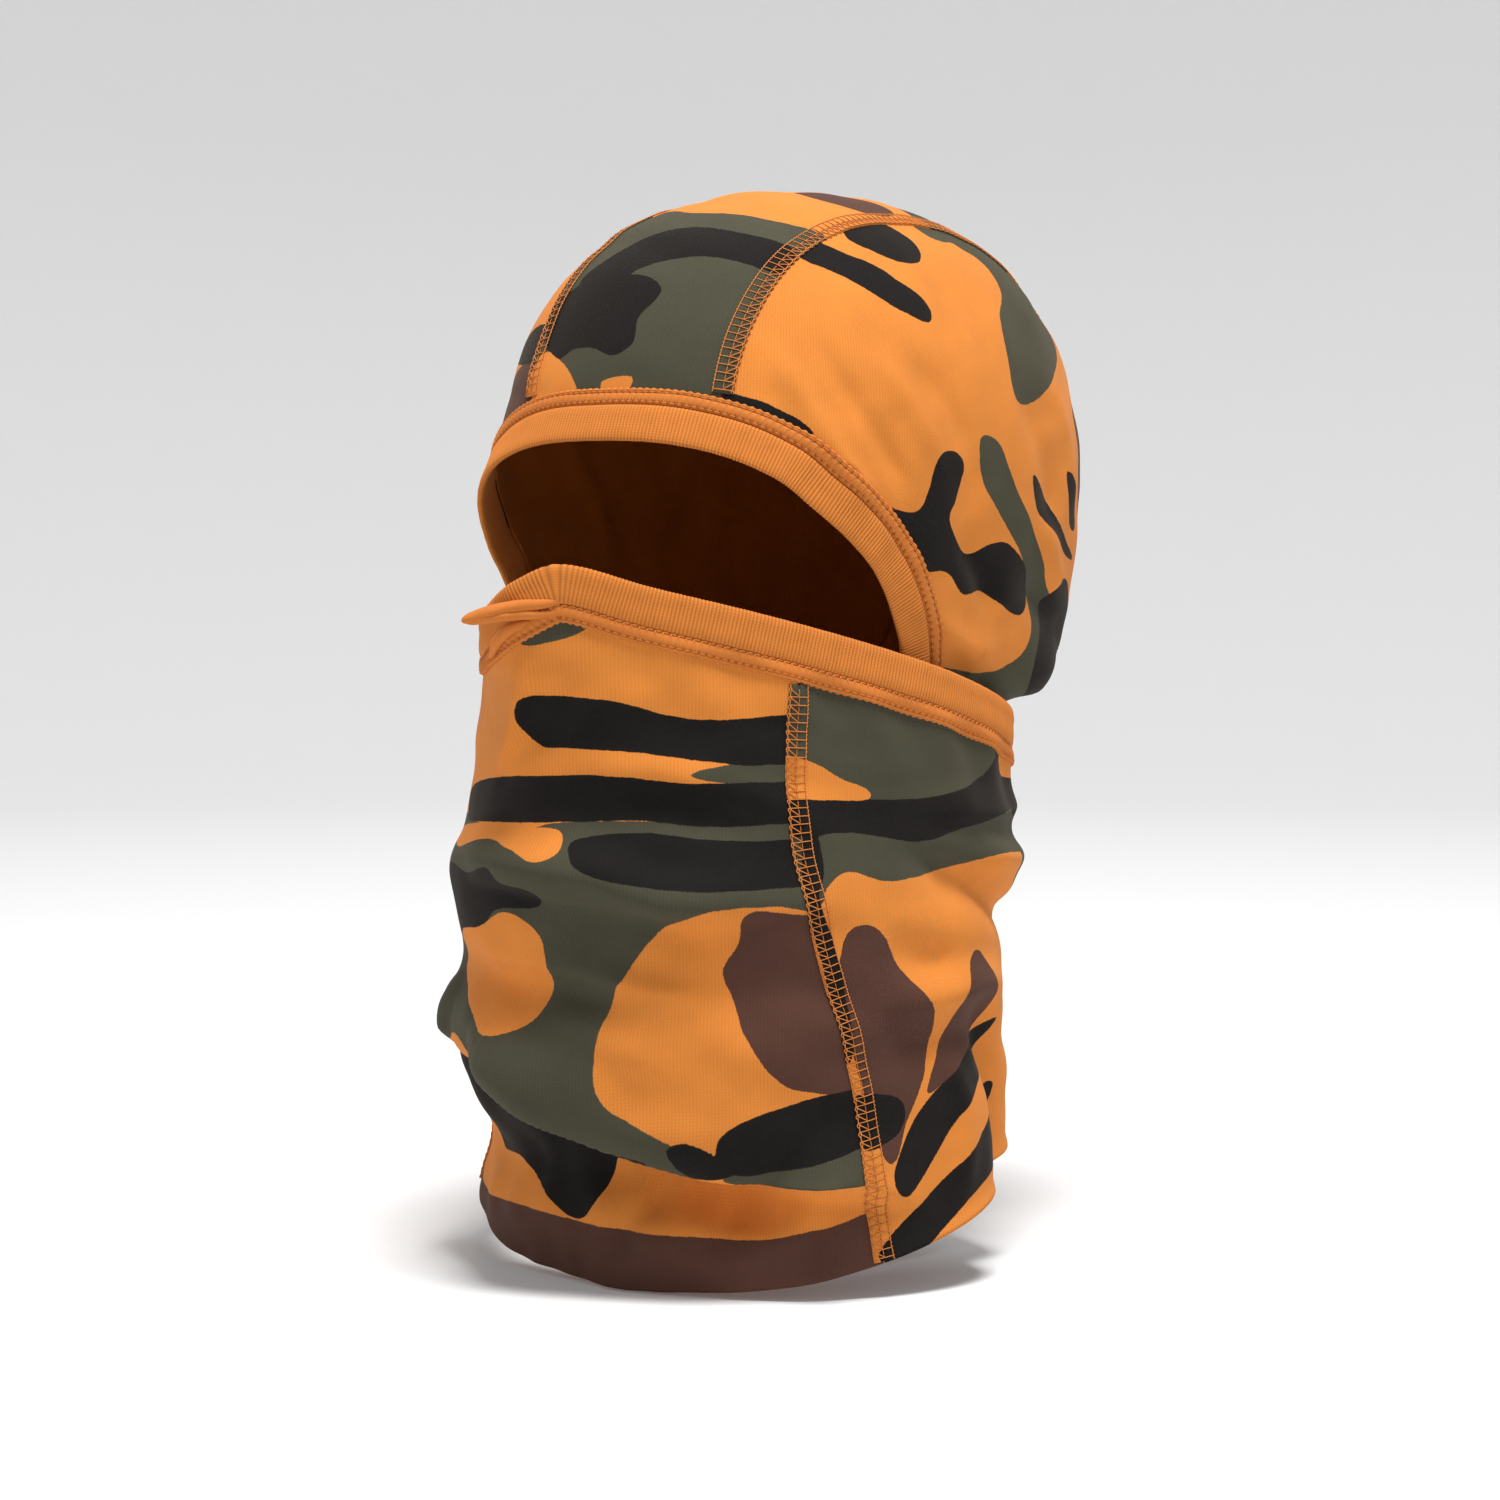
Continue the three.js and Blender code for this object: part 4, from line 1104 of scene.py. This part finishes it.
def cover_threads(ruler, near, direction, width, stitches):
    """Needle stitches from pit to pit in both rows, and the looper thread between the rows."""
    pitch = ruler.length / stitches
    start = np.arange(stitches if ruler.closed else stitches - 1)[:, None] * pitch
    t = np.linspace(0, 1, 6)[None, :]
    arc = np.sin(math.pi * t)
    made = []
    for row, rise in ((INNER_ROW, 0.64), (width - OUTER_ROW, 0.70)):
        made.append(laid_threads(ruler, start + t * pitch, near + direction * row,
                                 COVER_RISE - 0.6 + rise * arc, 0.2, 5))
    between = width - INNER_ROW - OUTER_ROW
    out, back = INNER_ROW + between * t, width - OUTER_ROW - between * t
    made.append(laid_threads(ruler, start + (0.1 + 0.55 * t) * pitch, near + direction * out,
                             COVER_RISE - 0.1 + 0.24 * arc, 0.17, 5))
    made.append(laid_threads(ruler, start + (0.6 + 0.5 * t) * pitch, near + direction * back,
                             COVER_RISE - 0.14 + 0.22 * arc, 0.17, 5))
    return made


binding_cover = cover_stitch("binding_cover_thread", arch, -0.5, COVER_WIDTH)
band_cover = cover_stitch("band_cover_thread", band_line, 0.4, -COVER_WIDTH - 0.4)
print("cover stitches", len(binding_cover.data.polygons), len(band_cover.data.polygons))

# %% [markdown]
# ## Flat seams
# The panels are joined edge to edge by a flatlock seam. Seen from outside it is a strip of the cloth
# that lies on top, held by a chain of loops along one edge, a wavy looper along the other, and rungs
# with slanted threads between them. The strip carries the print of the panel that it belongs to.

# %% Seam strips and seam threads
SEAM_WIDTH = 6.5
SEAM_PITCH = 2.5
SEAM_THREAD = 0.15
LOOP_STEP = 0.36


def seam_strip(name, ruler, shapes, weave_at):
    steps = int(ruler.length / RULER_STEP)
    along = np.linspace(0.2, ruler.length - 0.2, steps)[:, None]
    w = np.linspace(-SEAM_WIDTH / 2, SEAM_WIDTH / 2, 13)[None, :]
    rounded = np.clip(1 - (np.abs(w) / (SEAM_WIDTH / 2)) ** 6, 0, 1) ** 0.5
    needle = 0.18 * np.exp(-((w - 0.1) / 0.35) ** 2)
    pull = 0.07 * np.cos(2 * math.pi * along / SEAM_PITCH) * np.exp(-((np.abs(w) - 2.7) / 0.6) ** 2)
    height = 0.12 + 0.42 * rounded - needle + pull
    place = ruler.place(along, w, height)
    on_cloth = ruler.form.snap(place)
    fields = shapes(on_cloth)
    fields.update(weave_at(on_cloth))
    return cloth_shell(name, place, ruler.form.normal(place), fields, thickness=0.45)


def seam_threads(name, ruler, wavy):
    """`wavy` is the side of the line, 1 or -1, on which the looper makes waves."""
    stitches = int(ruler.length / SEAM_PITCH) - 1
    start = (0.5 + np.arange(stitches))[:, None] * ruler.length / (stitches + 1)
    start = start + random.normal(0, 0.07, (stitches, 1))
    t = np.linspace(0, 1, 7)[None, :]
    arc, full_turn = np.sin(math.pi * t), 2 * math.pi * t
    edge = SEAM_WIDTH / 2 - 0.2
    top = 0.68
    made = [
        # rungs from edge to edge, slanted threads over one half, and the needle thread down the middle
        laid_threads(ruler, start, wavy * (2 * edge * t - edge), top - 0.12 * np.cos(full_turn), SEAM_THREAD),
        laid_threads(ruler, start + 0.15 + (SEAM_PITCH - 0.3) * t, wavy * edge * t, top + 0.05 + 0.1 * arc,
                     SEAM_THREAD),
        laid_threads(ruler, start + SEAM_PITCH * (0.05 + 0.85 * t), 0.0, top - 0.2 + 0.18 * arc,
                     SEAM_THREAD * 0.9, 5),
    ]
    count = int(ruler.length / LOOP_STEP)
    along = np.linspace(0.3, ruler.length - 0.3, count)[None, :]
    turn = 2 * math.pi * along * (stitches + 1) / ruler.length
    # two looper threads that wave along one edge, and the chain along the other
    loops = (
        (0.0, wavy * (edge + 0.30 * np.sin(turn) + 0.08 * np.sin(2.1 * turn)),
         0.14 * np.cos(turn) - 0.14, 1.1),
        (0.25 * np.sin(turn), wavy * (edge - 0.32 + 0.22 * np.sin(turn + 2.4)),
         0.12 * np.sin(turn) - 0.05, 1.0),
        (0.3 * np.cos(2 * turn), -wavy * (edge + 0.13 * np.sin(2 * turn)),
         0.14 * np.cos(2 * turn) - 0.08, 1.1),
    )
    for shift, across, lift, thick in loops:
        made.append(laid_threads(ruler, along + shift, across, top + lift, SEAM_THREAD * thick))
    return new_piece(name, *join_meshes(made), {})


def crown_ruler(side):
    line = crown_line(seam_x(side), 420)
    walked = np.arange(420) * length_of(line) / 419
    kept = (walked > COVER_WIDTH + 0.6) & (line[:, 2] > JOIN_Z + SEAM_WIDTH + 0.9)
    return Ruler(hood, line[kept])


def tube_ruler(side):
    share = np.linspace(0.003, 1, 260)
    line = tube_place(lambda z: side * seam_degrees(z), share)
    below = band_top(line) - BAND_HEIGHT - line[:, 2]
    return Ruler(tube, line[below > COVER_WIDTH + 0.8])


def crown_weave(place):
    return weave(place[..., 0], crown_sweep(place))


seams = {}
for word, side in (("left", 1), ("right", -1)):
    over, down = crown_ruler(side), tube_ruler(side)
    seams[f"crown_{word}"] = (seam_strip(f"crown_seam_{word}_strip", over, crown_print, crown_weave),
                              seam_threads(f"crown_seam_{word}_thread", over, -side))
    # the looper waves on the front panel's side of a side seam, which is the left of a rising line
    seams[f"gaiter_{word}"] = (seam_strip(f"gaiter_seam_{word}_strip", down, back_print, tube_weave),
                               seam_threads(f"gaiter_seam_{word}_thread", down, side))
    print(word, "seams", round(over.length), round(down.length), "mm")

# %% [markdown]
# ## Hidden join and the fold on the nose
# Inside the neck tube an overlocked seam closes the foot of the hood. It is only seen from below, so
# a running spiral of thread stands for it. On the nose the band's cloth is pinched into a tongue of
# layers that points forward: rolls of cloth that taper to a shared, rounded tip.

# %% Neck join threads


def neck_join():
    degrees = np.linspace(77, 293, 200)
    line = hood.around(np.full(200, JOIN_Z + SEAM_WIDTH / 2 + GAP), degrees)
    ruler = Ruler(hood, line)
    along = np.linspace(0.3, ruler.length - 0.3, int(ruler.length / 0.4))[None, :]
    turn = 2 * math.pi * along / SEAM_PITCH
    made = [
        laid_threads(ruler, along, 2.8 * np.sin(turn), 0.5 + 0.25 * np.cos(turn), 0.2),
        laid_threads(ruler, along, 3.0 + 0.2 * np.sin(turn), 0.55 + 0.1 * np.cos(turn), 0.2),
        laid_threads(ruler, along, -3.0 + 0.2 * np.sin(turn), 0.55 + 0.1 * np.cos(turn), 0.2),
    ]
    return new_piece("neck_join_thread", *join_meshes(made), {})


join_thread = neck_join()
print("neck join", len(join_thread.data.polygons))

# %% Nose tuck


def roll(points, heights, depths, stitched=0.0, steps=90, sides=28):
    """A soft roll through points, with its half height and half depth at each of them."""
    line = smooth_line(points, 20)
    line = evenly(line, steps)
    at = np.linspace(0, 1, steps)
    keys = np.linspace(0, 1, len(heights))
    tall = hermite(list(zip(keys, heights)), at)[:, 0]
    deep = hermite(list(zip(keys, depths)), at)[:, 0]
    tip = np.clip((1 - at) / 0.12, 0, 1)
    tip = np.sqrt(1 - (1 - tip) ** 2) + 0.02
    along = np.gradient(line, axis=0)
    along /= np.linalg.norm(along, axis=1, keepdims=True)
    side = np.cross(along, (0, 0, 1.0))
    side /= np.linalg.norm(side, axis=1, keepdims=True)
    up = np.cross(side, along)
    turn = np.arange(sides) * 2 * math.pi / sides
    cos, sin = np.cos(turn)[None, :], np.sin(turn)[None, :]
    walked = at * length_of(line)
    stitch = 1 + stitched * np.sin(2 * math.pi * walked / 1.5)[:, None] * np.clip(sin, 0, 1)
    soft = 1 + 0.05 * np.sin(walked * 0.8)[:, None] * cos
    ring_points = (line[:, None] + (side[:, None] * (deep * tip)[:, None, None] * (cos * soft)[..., None]
                                    + up[:, None] * (tall * tip)[:, None, None] * (sin * stitch)[..., None]))
    points = ring_points.reshape(-1, 3)
    quads = np.concatenate([grid_quads(steps, sides, join_columns=True), end_caps(steps, sides)])
    return points, facing_out(points, quads)


def nose_tuck():
    """Three rolls from the band's foot on the nose, pointing forward and to the wearer's right."""
    def on_tube(degrees, drop, out):
        place = tube.around(np.array(BAND_TOP - drop), np.array(float(degrees)))
        return place + tube.normal(place) * out

    forward = np.array([-0.766, -0.643, 0.0])
    root = on_tube(2, 12.6, 2.2)
    tip = root + forward * 16.0 + np.array([0, 0, -3.4])
    middle = root + forward * 8.0 + np.array([0, 0, -1.5])
    upper = roll([on_tube(8.5, 10.0, 0.2), on_tube(5.5, 11.0, 1.4), root + np.array([0, 0, 0.9]),
                  middle + np.array([0, 0, 0.7]), tip], [0.9, 1.6, 1.9, 1.9, 1.5], [0.9, 1.5, 2.4, 2.5, 1.9])
    lower = roll([on_tube(7.5, 13.6, 0.2), on_tube(5, 14.0, 1.3), root + np.array([0, 0, -1.5]),
                  middle + np.array([0, 0, -1.0]), tip + np.array([0.9, 0.7, -0.3])],
                 [0.9, 1.4, 1.6, 1.5, 1.1], [0.9, 1.5, 2.2, 2.2, 1.5], stitched=0.14)
    flap = roll([on_tube(4, 16.0, -0.2), on_tube(0.5, 18.5, 0.8), on_tube(-2.5, 22.5, 0.9),
                 on_tube(-6, 27.5, -0.2)], [0.8, 1.7, 1.7, 0.7], [0.6, 1.4, 1.5, 0.6])
    return new_piece("nose_tuck_fold", *join_meshes([upper, lower, flap]), {})


tuck = nose_tuck()
print("nose tuck", [round(float(v), 3) for v in tuck.dimensions])

# %% [markdown]
# ## Materials
# The shader maths below is written as plain expressions. `Value` wraps a socket, and adding or
# multiplying values adds the Math nodes. Colours are mixed by Mix nodes, because a Math node would
# turn them grey.

# %% Shader helpers


class Value:
    def __init__(self, shader, socket):
        self.shader, self.socket = shader, socket

    def math(self, operation, *others):
        inputs = dict(enumerate((self, *others)))
        return self.shader.node("ShaderNodeMath", {"operation": operation}, inputs)

    def __add__(self, other):
        return self.math("ADD", other)

    __radd__ = __add__

    def __mul__(self, other):
        return self.math("MULTIPLY", other)

    __rmul__ = __mul__

    def __sub__(self, other):
        return self.math("SUBTRACT", other)

    def __rsub__(self, other):
        return self * -1 + other

    def __truediv__(self, other):
        return self.math("DIVIDE", other)

    def sine(self):
        return self.math("SINE")

    def positive(self):
        return self.math("ABSOLUTE")

    def clamped(self):
        return self.math("MAXIMUM", 0.0).math("MINIMUM", 1.0)

    def step(self, low, high):
        """0 below `low`, 1 above `high`, smooth between."""
        t = ((self - low) / (high - low)).clamped()
        return t * t * (3 - 2 * t)


class Shader:
    def __init__(self, name):
        self.material = bpy.data.materials.new(name)
        self.material.use_nodes = True
        self.tree = self.material.node_tree
        self.surface = self.tree.nodes["Principled BSDF"]

    def node(self, kind, settings=None, inputs=None, output=0):
        made = self.tree.nodes.new(kind)
        for key, value in (settings or {}).items():
            setattr(made, key, value)
        for key, value in (inputs or {}).items():
            self.feed(made.inputs[key], value)
        return Value(self, made.outputs[output])

    def feed(self, socket, value):
        if isinstance(value, Value):
            self.tree.links.new(value.socket, socket)
        else:
            socket.default_value = value

    def field(self, name):
        return self.node("ShaderNodeAttribute", {"attribute_name": name}, output=2)

    def noise(self, place, scale, detail=2.0, roughness=0.5):
        settings = {"Vector": place, "Scale": scale, "Detail": detail, "Roughness": roughness}
        return self.node("ShaderNodeTexNoise", {}, settings, output=0)

    def mix(self, amount, first, second, blend="MIX"):
        settings = {"data_type": "RGBA", "blend_type": blend}
        return self.node("ShaderNodeMix", settings, {0: amount, 6: first, 7: second}, output=2)

    def finish(self, uniform, varying):
        for key, value in {**uniform, **varying}.items():
            self.feed(self.surface.inputs[key], value)
        return self.material


def rgb(red, green, blue):
    """A linear colour from the usual 0 to 255 numbers."""
    def linear(c):
        c /= 255
        return c / 12.92 if c <= 0.04045 else ((c + 0.055) / 1.055) ** 2.4

    return (linear(red), linear(green), linear(blue), 1.0)


# %% [markdown]
# ## Printed jersey
# Jersey shows fine upright wales of interlocking loops, a slightly hairy surface, and a print that sinks into
# the yarn, so its edges are a little ragged. The knit is a bump worked out from the directions stored with
# the panel, and the same knit darkens the colour in the hollows between the loops as painted shade. The print
# comes from the stored distances, and the cloth's soft glow at grazing angles comes from sheen.

# %% Jersey
DYE_DEPTH = 0.72


def dye(red, green, blue):
    """A colour of dyed yarn, which gives back less light than the white round it."""
    return tuple(c * DYE_DEPTH for c in rgb(red, green, blue)[:3]) + (1.0,)


DYES = {
    "base": dye(240, 146, 62),
    "olive": dye(78, 76, 60),
    "brown": dye(92, 60, 49),
    "black": dye(25, 22, 21),
    "orange": dye(240, 146, 62),
}
# the unprinted inner face: its own orange, set darker than the outside as painted shade for the inside of the
# hood
INNER = dye(190, 104, 24)


def cotton(fuzz=0.45, shine=0.15):
    """What all the yarns share: a faint warm sheen from loose fibres and hardly any shine."""
    return {"Sheen Weight": 0.05, "Sheen Roughness": fuzz, "Sheen Tint": rgb(255, 226, 196),
            "Specular IOR Level": shine}


WALE = 0.92
COURSE = 0.74


def knit_height(shader, wale, course):
    """Height of the knit loops: V shapes stacked in columns."""
    column = (wale * (math.pi / WALE)).sine().positive()
    lean = (wale * (2 * math.pi / WALE)).sine() * 0.7
    loop = (course * (2 * math.pi / COURSE) + lean * 2.2).sine()
    return column * 0.75 + loop * 0.25


def jersey():
    shader = Shader("printed jersey")
    wale, course = shader.field("wale"), shader.field("course")
    place = shader.node("ShaderNodeCombineXYZ", {}, {0: wale, 1: course, 2: 0.0})
    rag = (shader.noise(place, 1.1, 1.0) - 0.5) * 0.4
    bleed = (shader.noise(place, 0.16, 2.0) - 0.5) * 0.8
    colour = DYES["base"]
    for name in PRINT_COLOURS:
        mask = (shader.field(name) + rag + bleed).step(-0.14, 0.14)
        colour = shader.mix(mask, colour, DYES[name])
    uneven = shader.noise(place, 0.045, 3.0, 0.6)
    fuzz = shader.noise(place, 2.6, 3.0, 0.7)
    tone = (uneven - 0.5) * 0.30 + (fuzz - 0.5) * 0.34 + 1.0
    knit = knit_height(shader, wale, course)
    # painted shade: the colour is darker where the knit is low, in the hollows between the loops
    tone = tone * (knit * 0.16 + 0.90)
    grey = shader.node("ShaderNodeCombineColor", {}, {0: tone, 1: tone, 2: tone})
    colour = shader.mix(1.0, colour, grey, "MULTIPLY")
    inside = shader.field("inside")
    inner = shader.mix(1.0, INNER, grey, "MULTIPLY")
    colour = shader.mix(inside.step(0.2, 0.8), colour, inner)
    bump = shader.node("ShaderNodeBump", {}, {"Strength": 0.45, "Distance": 0.00016,
                                              "Height": knit + fuzz * 0.5})
    rough = 0.86 + (uneven - 0.5) * 0.14
    return shader.finish(
        cotton(),
        {"Base Color": colour, "Roughness": rough, "Normal": bump})


# %% [markdown]
# ## Rib knit and thread
# The rib trim is plain orange yarn. Its colour is darkened in the grooves between the ribs as painted shade,
# where light does not reach. The sewing thread is smoother and a little lighter than the cloth, with the
# slight unevenness of worn thread.

# %% Rib and thread


def rib_knit():
    shader = Shader("orange rib")
    wale, course, groove_shade = shader.field("wale"), shader.field("course"), shader.field("groove_shade")
    place = shader.node("ShaderNodeCombineXYZ", {}, {0: wale, 1: course, 2: 0.0})
    worn = shader.noise(place, 0.12, 3.0, 0.6)
    fuzz = shader.noise(place, 2.4, 3.0, 0.7)
    # painted shade: the orange turns a deep brown-orange in the hollows between the ribs
    colour = shader.mix((groove_shade * 0.5).clamped(), dye(234, 141, 62), dye(150, 78, 28))
    tone = (worn - 0.5) * 0.26 + (fuzz - 0.5) * 0.3 + 1.0
    grey = shader.node("ShaderNodeCombineColor", {}, {0: tone, 1: tone, 2: tone})
    colour = shader.mix(1.0, colour, grey, "MULTIPLY")
    loops = (wale * (2 * math.pi / 0.8)).sine()
    relief = {"Strength": 0.4, "Distance": 0.00014, "Height": loops * 0.4 + fuzz}
    bump = shader.node("ShaderNodeBump", {}, relief)
    return shader.finish(
        cotton(),
        {"Base Color": colour, "Roughness": 0.86 + (worn - 0.5) * 0.12, "Normal": bump})


def cloth_roll():
    """The same yarn where there are no ribs to see: the rolls of the tuck and the stitched strips."""
    return plain_yarn("orange stitched cloth", dye(232, 140, 60), dye(212, 118, 46), 900, 0.84)


def thread():
    return plain_yarn("orange thread", dye(238, 150, 70), dye(206, 116, 46), 1400, 0.6)


def plain_yarn(name, light, dark, scale, roughness):
    shader = Shader(name)
    place = shader.node("ShaderNodeTexCoord", {}, {}, output=3)
    fine = shader.noise(place, scale, 3.0, 0.7)
    broad = shader.noise(place, 60, 2.0)
    colour = shader.mix((fine * 0.7 + broad * 0.5 - 0.1).clamped(), dark, light)
    bump = shader.node("ShaderNodeBump", {}, {"Strength": 0.4, "Distance": 0.00015, "Height": fine})
    return shader.finish(
        cotton(0.4, 0.25),
        {"Base Color": colour, "Roughness": roughness + (broad - 0.5) * 0.12, "Normal": bump})


jersey_look, rib_look, thread_look, roll_look = jersey(), rib_knit(), thread(), cloth_roll()
print("materials", len(bpy.data.materials))

# %% [markdown]
# ## Giving each piece its part in the model
# The hood's pieces stay with the head. The band, its stitching and the tuck swing down with the joint. The
# neck tube's cloth and its side seams are given no body and stay where they are laid.


def dress(piece, node, look, body=None):
    piece.data.materials.append(look)
    if node:
        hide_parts(node)
    if body:
        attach(piece, body)
    else:
        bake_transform(piece)


dress(crown, "crown_panel", jersey_look, "hood")
dress(hood_left, "hood_left_side", jersey_look, "hood")
dress(hood_right, "hood_right_side", jersey_look, "hood")
dress(binding, "face_binding", rib_look, "hood")
dress(binding_cover, "binding_cover_stitch", roll_look, "hood")
dress(join_thread, "neck_join_seam", thread_look, "hood")
dress(band, "mask_top_band", rib_look, "mask_band")
dress(band_cover, "band_cover_stitch", roll_look, "mask_band")
dress(tuck, "nose_tuck", roll_look, "mask_band")
dress(gaiter_front, "gaiter_front_panel", jersey_look)
dress(gaiter_back, "gaiter_back_panel", jersey_look)
for word in ("left", "right"):
    for part, body in (("crown", "hood"), ("gaiter", None)):
        strip, threads = seams[f"{part}_{word}"]
        dress(strip, None, jersey_look, body)
        dress(threads, f"{part}_seam_{word}", thread_look, body)
print("pieces dressed")

# %% [markdown]
# ## What each cloth was cut from
# A panel's flat size is that of the cloth it was cut from. Each panel's area is printed beside the width
# times the length of that cloth. The widths and lengths follow from the size of the worn garment, because
# jersey worn without stretch keeps its size.

# %% Flat sizes


def cloth_area(piece):
    return sum(p.area for p in piece.data.polygons) / 2


def declare(piece, width, length):
    print(piece.name, "area", round(cloth_area(piece), 4), "of", round(width * length, 4))


declare(crown, 0.071, 0.43)
declare(hood_left, 0.215, 0.255)
declare(hood_right, 0.215, 0.255)
declare(gaiter_front, 0.250, 0.215)
declare(gaiter_back, 0.330, 0.165)

# %% [markdown]
# ## Floor and light
# The garment is shown on a pale ground, so a shallow white bowl makes floor and background in one,
# with no horizon line, and looks the same from all sides. A soft key from above shapes the folds, a
# weak fill from the wearer's right keeps the shadows open, and a light from behind draws the rim.

# %% Bowl and lamps


def bowl():
    floor_z = HEM_Z * MM - 0.001
    flat, rim, height = 1.7, 3.4, 2.6
    arc = np.linspace(0, math.pi / 2, 16)
    profile = [(0.0, 0.0), (0.9, 0.0), (flat, 0.0)]
    profile += [(flat + (rim - flat) * math.sin(a), height * (1 - math.cos(a))) for a in arc[1:]]
    turns = 96
    mesh = bpy.data.meshes.new("floor")
    points, faces = [], []
    for radius, z in profile:
        for i in range(turns):
            angle = 2 * math.pi * i / turns
            points.append((radius * math.cos(angle), radius * math.sin(angle), floor_z + z))
    for r in range(len(profile) - 1):
        for i in range(turns):
            j = (i + 1) % turns
            faces.append((r * turns + i, r * turns + j, (r + 1) * turns + j, (r + 1) * turns + i))
    mesh.from_pydata(points, [], faces)
    mesh.shade_smooth()
    floor = bpy.data.objects.new("floor", mesh)
    bpy.context.scene.collection.objects.link(floor)
    shader = Shader("pale paper")
    mesh.materials.append(shader.finish({"Base Color": rgb(225, 225, 225), "Roughness": 0.9,
                                         "Specular IOR Level": 0.1, "Emission Color": (1, 1, 1, 1),
                                         "Emission Strength": 0.06}, {}))
    return floor


def lamp(name, place, size, power):
    data = bpy.data.lights.new(name, "AREA")
    data.shape, data.size, data.size_y = "RECTANGLE", size, size
    data.energy = power
    light = bpy.data.objects.new(name, data)
    light.location = place
    light.rotation_euler = (target - Vector(place)).to_track_quat("-Z", "Y").to_euler()
    bpy.context.scene.collection.objects.link(light)
    return light


bowl()
lamp("key", (0.50, -0.35, 2.10), 0.7, 72)
lamp("fill", (-1.5, -1.0, 0.70), 1.2, 1.5)
lamp("rim", (-1.0, 1.2, 1.5), 0.8, 6)
world = bpy.data.worlds.new("studio")
world.use_nodes = True
world.node_tree.nodes["Background"].inputs["Color"].default_value = (1, 1, 1, 1)
world.node_tree.nodes["Background"].inputs["Strength"].default_value = 0.28
bpy.context.scene.world = world
bpy.context.scene.view_settings.view_transform = "Standard"
print("lights", len(bpy.data.lights))
